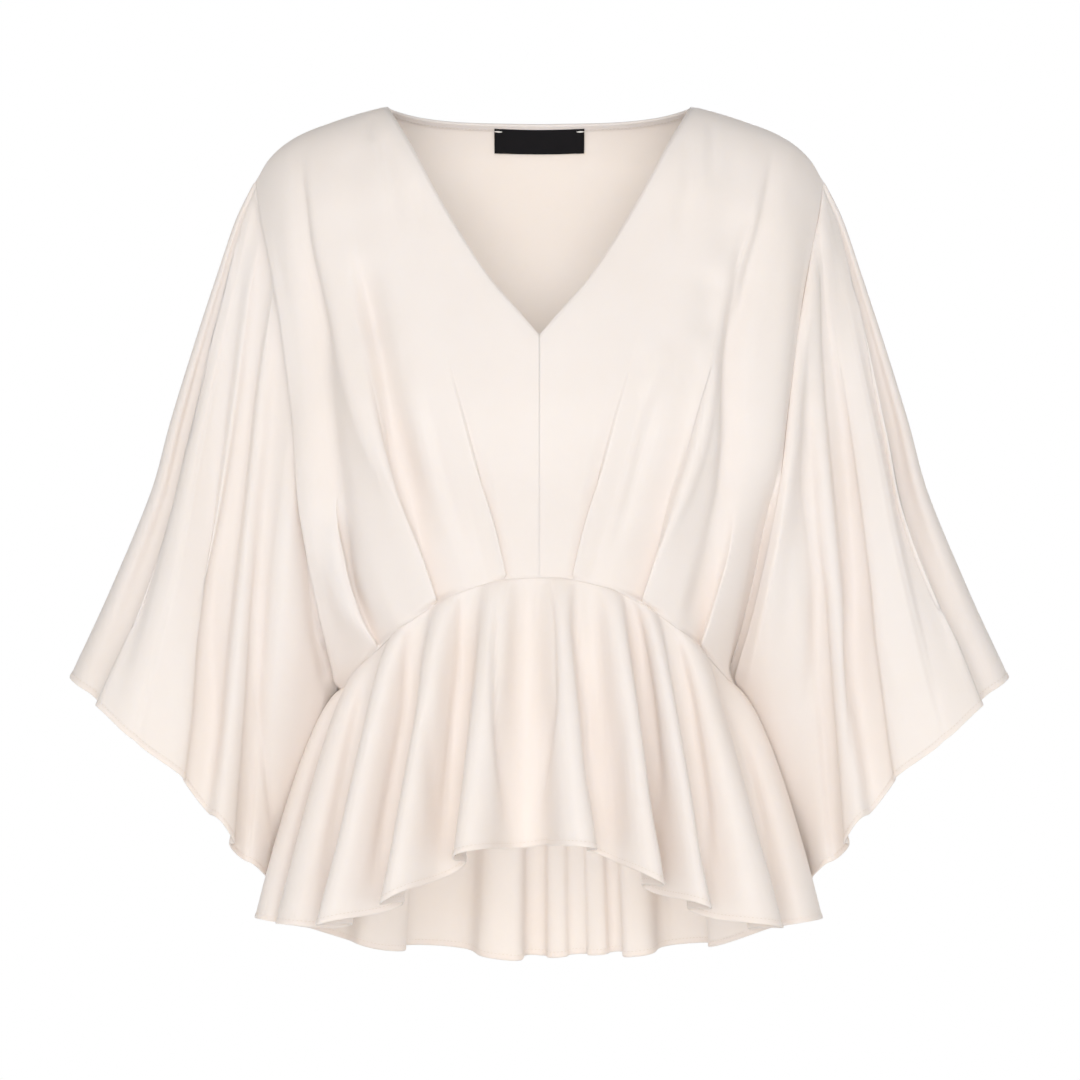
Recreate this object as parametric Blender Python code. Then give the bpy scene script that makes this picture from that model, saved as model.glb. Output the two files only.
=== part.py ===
"""V-neck blouse with batwing sleeves, a pleated bodice and a fluted peplum, held open as on a wearer.

Sizes are in millimetres until a mesh is made. X runs to the wearer's left, Y to the back and Z up. The origin lies
midway between the two neck points, where the shoulder seams meet the neck edge. Left and right are the wearer's.
"""

import math

import bmesh
import bpy
import numpy as np
from mathutils import Vector
from mathutils.bvhtree import BVHTree

# Driving sizes
WALL = 1.4
SEAM_GAP = 0.3
WAIST_HALF = 149.0
WAIST_SIDE_DROP = 440.0
WAIST_RISE = {"front": 88.0, "back": 18.0}
WAIST_ARCH_POWER = 2.2
SECTION_POWER = 2.4
SHOULDER_ROUNDING = {"front": 75.0, "back": 50.0}
HEM_HALF_WIDTH = 195.0
HEM_FRONT_DEPTH = 127.0
HEM_BACK_DEPTH = 124.0
PEPLUM_FLARE_POWER = 0.7
PEPLUM_FLUTE_POWER = 1.1
SLEEVE_FLUTE_POWER = 0.9
FLUTE_LEAN = 0.13
LEAN_DROP = 0.08
SHOULDER_SLOPE = 0.27
UNDERARM_CLEARANCE = 1.5
SLEEVE_GIRTH = 560.0
TUCK_WIDTH = 22.0
NECK_BINDING_WIDTH = 6.0
TRIM_WALL = 1.0
TRIM_GAP = 0.3
LABEL_WIDTH = 69.0
LABEL_TOP = -12.5
LABEL_DROP = 18.0
BODY_MIDDLE = (0.0, 0.0, -250.0)
PEPLUM_MIDDLE = (0.0, 0.0, -500.0)
SLEEVE_MIDDLE = (270.0, 0.0, -330.0)
UNDERARM_FROM = 0.85
ARMHOLE_DRAWN_FROM = 0.6

# Mesh divisions
BODICE_ROWS = 14
SLEEVE_ROWS = 9
PEPLUM_ROWS = 7
NECK_COLUMNS = 6
BACK_CENTRE_COLUMNS = 5
SLEEVE_DIVISIONS = 3
PEPLUM_DIVISIONS = 4
BODICE_BUNCHING = 2.0
BODICE_LAST_ROW = 0.98
SLEEVE_BUNCHING = 1.5
SLEEVE_MEETS_ROWS_FROM = 0.12
SLEEVE_LEAST_STEP = 0.012
PLEAT_STEPS = (0.0, 0.025, 0.07)
FIRST_EVEN_STEP = 0.13
EVEN_STEP = 0.12
LAST_COLUMN = 0.955
LEAST_COLUMN_STEP = 0.014
FINE_SAMPLES = 2001
SHARP_ANGLE = 50.0
LABEL_COLUMNS = 8
LABEL_ROWS = 3

# Shoulder ridge from the neck point out to the shoulder point
RIDGE = (
    # x, z
    (114.0, 0.0),
    (135.0, -5.5),
    (155.0, -12.0),
    (176.0, -20.0),
    (190.0, -28.0),
    (203.0, -40.0),
    (213.0, -56.0),
)

# The same ridge carried on over the neck opening, which gives the upper back its slope
NECK_CROWN = (
    # x, z
    (0.0, 14.0),
    (60.0, 11.5),
    (92.0, 5.5),
)

# V-neck edge from the V point up to the neck point
FRONT_NECK = (
    # x, z
    (0.0, -176.4),
    (16.5, -157.0),
    (33.5, -137.4),
    (56.6, -103.0),
    (73.5, -74.0),
    (94.0, -35.0),
    (114.0, 0.0),
)

# Back neck edge from the centre back out to the neck point
BACK_NECK = (
    # x, z
    (0.0, -7.0),
    (46.0, -6.5),
    (69.0, -5.6),
    (89.0, -4.0),
    (114.0, 0.0),
)

# Fullness of the bodice: depth of the front and the back at the centre, and the half width of the whole section
BODICE_FORM = (
    # z, front depth, back depth, half width
    (14.0, 60.0, 66.0, 226.0),
    (-56.0, 70.0, 80.0, 222.0),
    (-108.0, 82.0, 94.0, 216.5),
    (-150.0, 93.0, 99.0, 212.0),
    (-192.0, 103.0, 100.0, 207.5),
    (-232.0, 109.0, 97.0, 203.0),
    (-268.0, 107.0, 92.0, 198.0),
    (-305.0, 99.0, 87.0, 193.0),
    (-347.0, 91.0, 82.0, 186.0),
    (-388.0, 87.0, 79.0, 175.0),
    (-424.0, 85.0, 77.0, 163.0),
    (-440.0, 84.0, 76.0, 158.0),
)

# Armhole seams from the shoulder point down to the side of the waist
FRONT_ARMHOLE = (
    # x, z, y
    (213.0, -56.0, 0.0),
    (210.0, -75.0, -13.0),
    (203.0, -107.0, -29.0),
    (194.0, -152.5, -42.0),
    (188.0, -194.0, -50.0),
    (183.0, -232.0, -54.0),
    (179.0, -268.0, -55.0),
    (174.0, -305.0, -52.0),
    (167.0, -346.7, -45.0),
    (159.0, -387.0, -32.0),
    (151.5, -424.0, -11.0),
    (149.0, -440.0, 0.0),
)
BACK_ARMHOLE = (
    # x, z, y
    (213.0, -56.0, 0.0),
    (209.0, -80.0, 16.0),
    (202.0, -118.0, 34.0),
    (196.0, -160.0, 44.0),
    (191.0, -205.0, 50.0),
    (186.0, -250.0, 52.0),
    (180.0, -300.0, 49.0),
    (172.0, -350.0, 41.0),
    (161.0, -395.0, 27.0),
    (151.5, -426.0, 10.0),
    (149.0, -440.0, 0.0),
)

# Lines down each half of the bodice: where they meet the waist seam and the top edge, how far they bow outwards and
# how far they lean outwards just below the neck. Along the top edge 0 is the centre, 1 the neck point and 2 the
# shoulder point.
GUIDES = {
    "front": (
        # across, waist angle in degrees, place along the top edge, bow, lean
        (0.00, 0.0, 0.0, 0.0, 0.0),
        (0.22, 9.8, 1.0, 7.0, 20.0),
        (0.50, 31.5, 1.45, 22.0, 4.0),
        (0.74, 52.0, 1.74, 18.0, 0.0),
        (1.00, 90.0, 2.0, 0.0, 0.0),
    ),
    "back": (
        # across, waist angle in degrees, place along the top edge, bow, lean
        (0.00, 0.0, 0.0, 0.0, 0.0),
        (0.30, 18.0, 1.0, 4.0, 20.0),
        (0.62, 42.0, 1.5, 8.0, 4.0),
        (1.00, 90.0, 2.0, 0.0, 0.0),
    ),
}

# Pleats sewn into the waist seam: each has a valley towards the centre and a ridge away from it
PLEATS = {
    "front": (
        # across, ridge height, valley depth, half gap at the waist, half gap at the top, spread, fades in, is full
        (0.22, 3.2, 2.6, 0.008, 0.03, 0.08, 0.45, 0.85),
        (0.50, 6.5, 5.0, 0.009, 0.09, 0.11, 0.08, 0.80),
        (0.74, 5.5, 5.5, 0.009, 0.07, 0.09, 0.02, 0.85),
    ),
    "back": (
        # across, ridge height, valley depth, half gap at the waist, half gap at the top, spread, fades in, is full
        (0.30, 2.5, 2.0, 0.014, 0.05, 0.12, 0.35, 0.85),
        (0.62, 4.0, 4.0, 0.014, 0.08, 0.14, 0.10, 0.80),
    ),
}

# Depth of the sleeve's trough beside each front armhole seam. A negative one is a roll of the sleeve.
ARMHOLE_TUCKS = {"left": -5.0, "right": 6.0}

# Sleeve: sideways shift of the line over the arm and of the line under the arm
SLEEVE_BOW = (
    # share of the way down, line over the arm, line under the arm
    (0.00, 0.0, 0.0),
    (0.08, 2.5, 1.8),
    (0.18, 1.0, 2.0),
    (0.30, -1.0, 1.5),
    (0.48, -5.0, 0.5),
    (0.63, -10.0, 0.0),
    (0.82, -6.5, 0.0),
    (1.00, 0.0, 0.0),
)
SLEEVE_HEM = (
    # share from outer tip to underarm, x, front y, back y, z
    (0.00, 344.5, 0.0, 0.0, -431.0),
    (0.10, 333.0, -34.0, 34.0, -442.0),
    (0.20, 314.0, -48.0, 48.0, -457.0),
    (0.35, 289.0, -58.0, 60.0, -480.0),
    (0.50, 262.0, -58.0, 62.0, -500.0),
    (0.62, 243.0, -52.0, 60.0, -523.0),
    (0.74, 229.0, -40.0, 52.0, -547.0),
    (0.86, 216.0, -17.0, 40.0, -565.0),
    (1.00, 201.0, 12.0, 12.0, -584.0),
)

# How far down the armhole seam each line of the sleeve starts
SLEEVE_FAN = (
    # share from outer tip to underarm, share of the armhole seam
    (0.00, 0.0),
    (0.20, 0.02),
    (0.58, 0.12),
    (0.86, 0.40),
    (1.00, 1.0),
)

# Crests and valleys round the sleeve from the outer tip to the underarm
SLEEVE_FLUTES = {
    "front": (
        # share, offset at the hem
        (0.00, 8.0),
        (0.12, -8.0),
        (0.22, 12.0),
        (0.42, 6.0),
        (0.60, -13.0),
        (0.70, 6.0),
        (0.81, -6.0),
        (0.91, 3.0),
        (1.00, 0.0),
    ),
    "back": (
        # share, offset at the hem
        (0.00, 8.0),
        (0.15, -9.0),
        (0.30, 11.0),
        (0.47, -11.0),
        (0.64, 10.0),
        (0.80, -7.0),
        (0.92, 3.0),
        (1.00, 0.0),
    ),
}

# Peplum hem height round the body
PEPLUM_HEM = (
    # degrees from the centre front, z
    (0.0, -543.0),
    (13.0, -549.0),
    (21.0, -565.0),
    (33.0, -585.0),
    (47.0, -598.0),
    (60.0, -602.0),
    (85.0, -606.0),
    (110.0, -618.0),
    (140.0, -639.0),
    (180.0, -651.0),
)

# Crests and valleys round the peplum, from the right side over the front to the left side and round the back
PEPLUM_FLUTES = (
    # degrees from the centre front, offset at the hem
    (-93.0, -16.0),
    (-80.0, 18.0),
    (-69.0, -15.0),
    (-54.0, 21.0),
    (-43.0, -18.0),
    (-33.0, 21.0),
    (-24.0, -16.0),
    (-13.0, 17.0),
    (-3.5, -14.0),
    (6.0, 13.0),
    (13.5, -12.0),
    (21.0, 17.0),
    (27.5, -14.0),
    (34.0, 16.0),
    (42.0, -16.0),
    (51.0, 20.0),
    (67.0, -14.0),
    (80.0, 18.0),
    (93.0, -16.0),
    (108.0, 18.0),
    (128.0, -17.0),
    (144.0, 19.0),
    (159.0, -18.0),
    (174.0, 17.0),
    (187.0, -16.0),
    (201.0, 18.0),
    (217.0, -18.0),
    (233.0, 19.0),
    (250.0, 10.0),
    (267.0, -16.0),
)

# Colours and roughness
CREAM = (0.86, 0.79, 0.71, 1.0)
CREAM_ROUGHNESS = 0.55
BLACK = (0.012, 0.012, 0.016, 1.0)
BLACK_ROUGHNESS = 0.7


def column(table, place):
    """One column of a table, as an array."""
    return np.array([row[place] for row in table], float)


def curve(places, values, level_start=False):
    """A smooth curve through table rows that never overshoots them."""
    places, values = np.asarray(places, float), np.asarray(values, float)
    step = np.diff(places)
    rise = np.diff(values) / step
    slope = np.zeros(len(places))
    for i in range(1, len(places) - 1):
        if rise[i - 1] * rise[i] > 0:
            before, after = step[i] * 2 + step[i - 1], step[i] + step[i - 1] * 2
            slope[i] = (before + after) / (before / rise[i - 1] + after / rise[i])
    slope[0], slope[-1] = 0.0 if level_start else rise[0], rise[-1]

    def at(place):
        place = np.clip(np.asarray(place, float), places[0], places[-1])
        i = np.clip(np.searchsorted(places, place, side="right") - 1, 0, len(step) - 1)
        t = (place - places[i]) / step[i]
        near = (1 + 2 * t) * (1 - t) ** 2 * values[i] + t * (1 - t) ** 2 * step[i] * slope[i]
        far = t * t * (3 - 2 * t) * values[i + 1] + t * t * (t - 1) * step[i] * slope[i + 1]
        return near + far

    return at


def table_curve(table, value, level_start=False):
    """A smooth curve of one column of a table over its first column."""
    order = slice(None) if table[0][0] < table[-1][0] else slice(None, None, -1)
    return curve(column(table, 0)[order], column(table, value)[order], level_start)


def ease(value, start, end):
    """0 before start, 1 after end and smooth between them."""
    t = np.clip((np.asarray(value, float) - start) / (end - start), 0.0, 1.0)
    return t * t * (3 - 2 * t)


def by_length(table, values=(0, 1), samples=400):
    """Columns of a table at a share of the length of the plane curve through its first two columns."""
    places = np.linspace(0.0, 1.0, len(table))
    fine = np.linspace(0.0, 1.0, samples)
    path = np.stack([curve(places, column(table, k))(fine) for k in range(len(table[0]))], axis=-1)
    run = np.concatenate([[0.0], np.cumsum(np.linalg.norm(np.diff(path[:, :2], axis=0), axis=1))])
    run /= run[-1]
    return lambda share: np.stack([np.interp(share, run, path[:, k]) for k in values], axis=-1)


def straight(places, knots, values):
    """Values at places, straight between the knots."""
    return np.stack([np.interp(places, knots, values[..., k]) for k in range(3)], axis=-1)


def unit(vectors):
    return vectors / np.maximum(np.linalg.norm(vectors, axis=-1, keepdims=True), 1e-9)


def mirrored(values):
    """The same points or vectors on the other side of the body."""
    return values * np.array([-1.0, 1.0, 1.0])


def ridge_at(share):
    """x and z at a share of the shoulder seam's length."""
    x = ridge_run(share)[..., 0]
    return np.stack([x, ridge_height(x)], axis=-1)


SIGN = {"front": -1.0, "back": 1.0}
ridge_height = table_curve(NECK_CROWN + RIDGE, 1)
ridge_run = by_length(RIDGE)
neck_at = {"front": by_length(FRONT_NECK), "back": by_length(BACK_NECK)}
armhole_at = {"front": by_length(FRONT_ARMHOLE), "back": by_length(BACK_ARMHOLE)}
armhole_y = {"front": by_length(FRONT_ARMHOLE, (2,)), "back": by_length(BACK_ARMHOLE, (2,))}
form_depth = {"front": table_curve(BODICE_FORM, 1), "back": table_curve(BODICE_FORM, 2)}
form_half = table_curve(BODICE_FORM, 3)
guide_angle = {face: table_curve(GUIDES[face], 1) for face in GUIDES}
guide_place = {face: table_curve(GUIDES[face], 2) for face in GUIDES}
sleeve_fan = table_curve(SLEEVE_FAN, 1)


def form_section(x, z, face):
    """Depth of the bodice at a place seen from the front, before it is rounded off over the shoulder."""
    reach = np.clip(np.abs(x) / form_half(z), 0.0, 1.0)
    return form_depth[face](z) * (1 - reach**SECTION_POWER) ** (1 / SECTION_POWER)


def form_fall(x, z, face):
    """How far a place lies down the rounding of the shoulder, from 0 at the ridge to 1."""
    return np.clip((ridge_height(np.abs(x)) - z) / SHOULDER_ROUNDING[face], 0.0, 1.0)


def form_y(x, z, face):
    """Depth of the plain bodice at a place seen from the front."""
    fall = form_fall(x, z, face)
    return SIGN[face] * form_section(x, z, face) * np.sqrt(1 - (1 - fall) ** 2)


def waist_seam(angle, face):
    """x and z of the waist seam at an angle round the body, 0 at the centre of a face and 90 at the side."""
    turn = np.radians(np.clip(angle, 0.0, 90.0))
    z = -WAIST_SIDE_DROP + WAIST_RISE[face] * (1 - np.sin(turn) ** WAIST_ARCH_POWER)
    return np.stack([WAIST_HALF * np.sin(turn), z], axis=-1)


def top_edge(place, face):
    """x and z of the neck edge (place 0 to 1) and then of the shoulder seam (place 1 to 2)."""
    neck = neck_at[face](np.clip(place, 0.0, 1.0))
    shoulder = ridge_at(np.clip(place - 1.0, 0.0, 1.0))
    return np.where(np.asarray(place)[..., None] <= 1.0, neck, shoulder)


def pleat_relief(across, down, face):
    """How far the pleats lift the cloth off the plain bodice."""
    total = np.zeros(across.shape)
    for place, ridge, valley, waist_gap, top_gap, spread, start, full in PLEATS[face]:
        gap = waist_gap + (top_gap - waist_gap) * (1 - down) ** 1.3
        away = across - place
        step = np.sin(np.clip(away / gap, -1.0, 1.0) * math.pi / 2)
        level = np.where(step > 0, ridge * step, valley * step)
        past = np.clip((np.abs(away) - gap) / spread, 0.0, 1.0)
        total = total + ease(down, start, full) * level * (1 - past) ** 2 * (1 + 2 * past)
    return total


def guide_offset(across, down, face):
    """How far the lines down the bodice lie from straight ones, in x and z. The last is the armhole seam."""
    place = np.sin(np.radians(guide_angle[face](across)))
    knots = np.sin(np.radians(column(GUIDES[face], 1)))
    bow, lean = column(GUIDES[face], 3), column(GUIDES[face], 4)
    sideways = np.interp(place, knots, bow) * 4 * down * (1 - down)
    outward_lean = np.interp(place, knots, lean) * np.sqrt(tuck_profile(down, LEAN_DROP))
    ends = armhole_at[face](np.array([0.0, 1.0]))
    share = down[..., None]
    bulge = armhole_at[face](down) - ends[0] * (1 - share) - ends[1] * share
    offset = np.clip((place - knots[-2]) / (knots[-1] - knots[-2]), 0.0, 1.0)[..., None] * bulge
    offset[..., 0] += sideways + outward_lean
    offset[..., 1] -= outward_lean * SHOULDER_SLOPE
    return offset


def tuck_profile(distance, width):
    """A trough beside a seam: 0 at the seam, 1 at its deepest and dying away past it."""
    return distance / width * np.exp(1 - distance / width)


def bodice_point(across, down, face):
    """A point of the left half bodice: across from the centre to the armhole seam, down from top to waist."""
    across, down = np.broadcast_arrays(np.asarray(across, float), np.asarray(down, float))
    top = top_edge(guide_place[face](across), face)
    waist = waist_seam(guide_angle[face](across), face)
    share = down[..., None]
    plane = top * (1 - share) + waist * share + guide_offset(across, down, face)
    sewn = ease(down, 0.0, 0.06) * ease(1 - down, 0.0, 0.04)
    sewn = sewn * ease(across, 0.0, 0.04) * ease(1 - across, 0.0, 0.1)
    relief = pleat_relief(across, down, face) * sewn
    y = form_y(plane[..., 0], plane[..., 1], face) + SIGN[face] * relief
    seam = armhole_at[face](down)
    drawn_in = armhole_y[face](down)[..., 0] - form_y(seam[..., 0], seam[..., 1], face)
    y = y + ease(across, ARMHOLE_DRAWN_FROM, 1.0) * drawn_in
    return np.stack([plane[..., 0], y, plane[..., 1]], axis=-1)


def bodice_rows():
    """Shares of the way down the bodice, closer together over the shoulder and at the waist."""
    rows = np.linspace(0.0, 1.0, BODICE_ROWS + 1) ** BODICE_BUNCHING
    return np.sort(np.append(rows, BODICE_LAST_ROW))


def spaced(values, least):
    """Sorted values without those that lie closer than the least step to one kept before."""
    kept = []
    for value in sorted(values):
        if not kept or value - kept[-1] >= least:
            kept.append(value)
    return np.array(kept)


def bodice_columns(face):
    """Places across the half bodice. Those of the back meet the same points of the shoulder seam as the front's."""
    neck_point = GUIDES["front"][1][0]
    neck = np.linspace(0.0, neck_point, NECK_COLUMNS + 1)
    beside = [place + sign * (waist_gap + step)
              for place, _, _, waist_gap, *_ in PLEATS["front"]
              for sign in (-1, 1)
              for step in PLEAT_STEPS]
    even = np.arange(neck_point + FIRST_EVEN_STEP, 1.0, EVEN_STEP)
    beyond = [place for place in [*beside, *even, LAST_COLUMN] if neck_point < place <= LAST_COLUMN]
    front = np.concatenate([neck, spaced(beyond, LEAST_COLUMN_STEP), [1.0]])
    if face == "front":
        return front
    fine = np.linspace(0.0, 1.0, FINE_SAMPLES)
    matched = np.interp(guide_place["front"](front[NECK_COLUMNS:]), guide_place["back"](fine), fine)
    neck_point = GUIDES["back"][1][0]
    return np.concatenate([np.linspace(0.0, neck_point, BACK_CENTRE_COLUMNS)[:-1], matched])


def armhole_line(share, face):
    """The armhole seam on the left in space, straight between the bodice's rows so that both panels share it."""
    rows = bodice_rows()
    return straight(share, rows, bodice_point(np.ones_like(rows), rows, face))


def waist_line(angle):
    """The waist seam at angles round the body, straight between the bodice's columns."""
    front, back = bodice_columns("front"), bodice_columns("back")[::-1]
    knots = np.concatenate([guide_angle["front"](front), 180.0 - guide_angle["back"](back)[1:]])
    points = np.concatenate([
        bodice_point(front, np.ones_like(front), "front"),
        bodice_point(back, np.ones_like(back), "back")[1:],
    ])
    turned = (np.asarray(angle) + 180.0) % 360.0 - 180.0
    found = straight(np.abs(turned), knots, points)
    found[..., 0] *= np.where(turned < 0, -1.0, 1.0)
    return found


def flute_wave(place, flutes):
    """Offset of a fluted edge at a place along it, and the lean that makes its crests and valleys full."""
    places, offsets = column(flutes, 0), column(flutes, 1)
    i = np.clip(np.searchsorted(places, place, side="right") - 1, 0, len(places) - 2)
    t = np.clip((place - places[i]) / (places[i + 1] - places[i]), 0.0, 1.0)
    middle = (offsets[i] + offsets[i + 1]) / 2
    swing = (offsets[i] - offsets[i + 1]) / 2
    lean = np.sin(2 * math.pi * t) * (places[i + 1] - places[i]) * FLUTE_LEAN
    return middle + swing * np.cos(math.pi * t), lean


def grid_frame(points, closed):
    """Unit vectors along the rows of a grid and square to its surface. A closed grid repeats its first column."""
    grid = np.concatenate([points[:, -2:-1], points, points[:, 1:2]], axis=1) if closed else points
    across, down = np.gradient(grid, axis=1), np.gradient(grid, axis=0)
    across, normal = unit(across), unit(np.cross(across, down))
    return (across[:, 1:-1], normal[:, 1:-1]) if closed else (across, normal)


def fluted(points, wave, lean, strength, sense):
    """Crests and valleys that grow down a tube of cloth. sense is 1 where its rows run clockwise from above."""
    across, normal = grid_frame(points, True)
    return points + strength[:, None, None] * (normal * sense * wave[None, :, None] + across * lean[None, :, None])


def sleeve_grid(places, down, tuck=0.0):
    """The left sleeve as a tube: places run 0 over the arm, 1 under it by way of the front, 2 over it again."""
    front = places <= 1.0
    share = np.where(front, places, 2.0 - places)
    start = np.where(
        front[:, None],
        armhole_line(sleeve_fan(share), "front"),
        armhole_line(sleeve_fan(share), "back"),
    )
    y = np.where(front, table_curve(SLEEVE_HEM, 2)(share), table_curve(SLEEVE_HEM, 3)(share))
    x = table_curve(SLEEVE_HEM, 1, level_start=True)(share)
    z = table_curve(SLEEVE_HEM, 4, level_start=True)(share)
    end = np.stack([x, y, z], axis=-1)
    points = start[None] * (1 - down[:, None, None]) + end[None] * down[:, None, None]
    over, under = table_curve(SLEEVE_BOW, 1)(down), table_curve(SLEEVE_BOW, 2)(down)
    points[..., 0] += over[:, None] * (1 - ease(share, 0.0, 0.6))[None, :]
    points[..., 0] += under[:, None] * ease(share, 0.8, 1.0)[None, :]
    wave_front, lean_front = flute_wave(share, SLEEVE_FLUTES["front"])
    wave_back, lean_back = flute_wave(share, SLEEVE_FLUTES["back"])
    wave = np.where(front, wave_front, wave_back)
    lean = np.where(front, lean_front, -lean_back) * SLEEVE_GIRTH / 2
    tube = fluted(points, wave, lean, down**SLEEVE_FLUTE_POWER, 1)
    length = np.linalg.norm(end - start, axis=-1)
    trough = tuck_profile(down[:, None] * length[None, :], TUCK_WIDTH)
    trough = trough * (ease(share, 0.15, 0.5) * ease(1 - share, 0.0, 0.04) * front)[None, :]
    _, normal = grid_frame(points, True)
    return tube - normal * tuck * trough[..., None]


def peplum_grid(angles, down):
    """The whole peplum as a ring: angles from the centre front, positive to the left."""
    flat = np.abs((angles + 180.0) % 360.0 - 180.0)
    turn = np.radians(angles)
    depth = np.where(flat <= 90.0, HEM_FRONT_DEPTH, HEM_BACK_DEPTH)
    hem_z = table_curve(PEPLUM_HEM, 1)(flat)
    hem = np.stack([HEM_HALF_WIDTH * np.sin(turn), -depth * np.cos(turn), hem_z], axis=-1)
    waist = waist_line(angles)
    share = np.stack([down**PEPLUM_FLARE_POWER, down**PEPLUM_FLARE_POWER, down], axis=-1)[:, None, :]
    points = waist[None] + (hem - waist)[None] * share
    first = PEPLUM_FLUTES[0][0]
    wave, lean = flute_wave((angles - first) % 360.0 + first, PEPLUM_FLUTES)
    return fluted(points, wave, np.radians(lean) * HEM_HALF_WIDTH, down**PEPLUM_FLUTE_POWER, -1)


def edge_places(flutes, divisions):
    """Places along a fluted edge, the same count between each crest and the next valley."""
    knots = column(flutes, 0)
    steps = [np.linspace(a, b, divisions, endpoint=False) for a, b in zip(knots, knots[1:])]
    return np.append(np.concatenate(steps), knots[-1])


def sleeve_places():
    """Places round the sleeve: those of its flutes, and those that meet the bodice's rows along the armhole."""
    fine = np.linspace(0.0, 1.0, FINE_SAMPLES)
    rows = bodice_rows()
    met = np.interp(rows[rows > SLEEVE_MEETS_ROWS_FROM], sleeve_fan(fine), fine)[:-1]
    halves = []
    for face in ("front", "back"):
        places = edge_places(SLEEVE_FLUTES[face], SLEEVE_DIVISIONS)
        free = [place for place in places if np.abs(met - place).min() > SLEEVE_LEAST_STEP]
        halves.append(np.sort(np.concatenate([free, met])))
    return np.concatenate([halves[0], 2.0 - halves[1][::-1][1:]]), len(halves[0]) - 1


def peplum_angles():
    """Angles round the peplum, with the side seams among them, and where those lie."""
    angles = np.concatenate([edge_places(PEPLUM_FLUTES, PEPLUM_DIVISIONS)[:-1], [-90.0, 90.0]])
    angles = spaced(angles, 1.0)
    first, last = (int(np.argmin(np.abs(angles - side))) for side in (-90.0, 90.0))
    angles[first], angles[last] = -90.0, 90.0
    return np.append(angles, angles[0] + 360.0), first, last


def outward(points, normals, middle):
    """The normals turned so that most of them point away from a line of middle points."""
    return normals * np.sign(((points - middle) * normals).sum())


def share_normals(first, first_places, second, second_places, ends):
    """Gives two panels the same normals along their seam. ends are the normals at its corners."""
    common = unit(first + straight(first_places, second_places, second))
    common[0], common[-1] = ends
    first[:] = common
    second[:] = straight(second_places, first_places, common)
    second[:] = unit(second)


def seam_shift(points, edges):
    """Moves the sewn edges of a grid back by half the seam gap, in the surface and square to each edge."""
    shift = np.zeros_like(points)
    for edge in edges:
        rim, inner = {"top": (0, 1), "bottom": (-1, -2), "first": (0, 1), "last": (-1, -2)}[edge]
        pick = (lambda k: (k, slice(None))) if edge in ("top", "bottom") else (lambda k: (slice(None), k))
        line = points[pick(rim)]
        tangent = unit(np.gradient(line, axis=0))
        back = points[pick(inner)] - line
        back = unit(back - (back * tangent).sum(-1, keepdims=True) * tangent)
        shift[pick(rim)] += back * SEAM_GAP / 2
    return shift


def grid_triangles(grid, closed=False):
    """Triangles of a grid by row and column, each cell cut along its shorter diagonal."""
    rows, columns = grid.shape[:2]
    for i in range(rows - 1):
        for j in range(columns - 1):
            k = 0 if closed and j == columns - 2 else j + 1
            a, b, c, d = (i, j), (i, k), (i + 1, k), (i + 1, j)
            if np.linalg.norm(grid[a] - grid[c]) <= np.linalg.norm(grid[b] - grid[d]):
                yield from ((a, b, c), (a, c, d))
            else:
                yield from ((a, b, d), (b, c, d))


def wall_mesh(name, outer, inner, closed):
    """A closed wall between two grids of points in millimetres. A closed grid repeats its first column."""
    rows, columns = outer.shape[:2]
    if closed:
        columns -= 1
    mesh = bmesh.new()
    layers = [[mesh.verts.new(p) for p in layer[:, :columns].reshape(-1, 3) * 0.001] for layer in (outer, inner)]
    for triangle in grid_triangles(inner, closed):
        corners = [i * columns + j for i, j in triangle]
        mesh.faces.new([layers[0][n] for n in corners[::-1]])
        mesh.faces.new([layers[1][n] for n in corners])
    if closed:
        rims = [[i * columns + j for j in (*range(columns), 0)] for i in (0, rows - 1)]
    else:
        around = [(0, j) for j in range(columns)] + [(i, columns - 1) for i in range(1, rows)]
        around += [(rows - 1, j) for j in reversed(range(columns - 1))]
        around += [(i, 0) for i in reversed(range(rows - 1))]
        rims = [[i * columns + j for i, j in around]]
    for rim in rims:
        for a, b in zip(rim, rim[1:]):
            across = (layers[0][a].co - layers[1][b].co).length <= (layers[0][b].co - layers[1][a].co).length
            cuts = ((0, a, 0, b, 1, b), (0, a, 1, b, 1, a)) if across else ((0, a, 0, b, 1, a), (0, b, 1, b, 1, a))
            for cut in cuts:
                mesh.faces.new([layers[cut[n]][cut[n + 1]] for n in (0, 2, 4)])
    bmesh.ops.recalc_face_normals(mesh, faces=mesh.faces)
    if mesh.calc_volume(signed=True) < 0:
        bmesh.ops.reverse_faces(mesh, faces=mesh.faces)
    data = bpy.data.meshes.new(name)
    mesh.to_mesh(data)
    mesh.free()
    data.shade_smooth()
    data.set_sharp_from_angle(angle=math.radians(SHARP_ANGLE))
    return data


def cloth_material(name, colour, roughness):
    material = bpy.data.materials.new(name)
    material.use_nodes = True
    shader = material.node_tree.nodes["Principled BSDF"]
    shader.inputs["Base Color"].default_value = colour
    shader.inputs["Roughness"].default_value = roughness
    shader.inputs["Metallic"].default_value = 0.0
    return material


def place_part(name, outer, inner, closed=False, colour=CREAM, roughness=CREAM_ROUGHNESS):
    data = wall_mesh(name, outer, inner, closed)
    data.materials.append(cloth_material(f"{name}_cloth", colour, roughness))
    part = bpy.data.objects.new(name, data)
    bpy.context.scene.collection.objects.link(part)


def place_panel(name, points, normals, sewn, closed=False):
    """A panel of cloth about its middle, drawn back by half a gap along its sewn edges. Gives its inside."""
    middle = points + seam_shift(points, sewn)
    inner = middle - normals * WALL / 2
    place_part(name, middle + normals * WALL / 2, inner, closed)
    return inner


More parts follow.
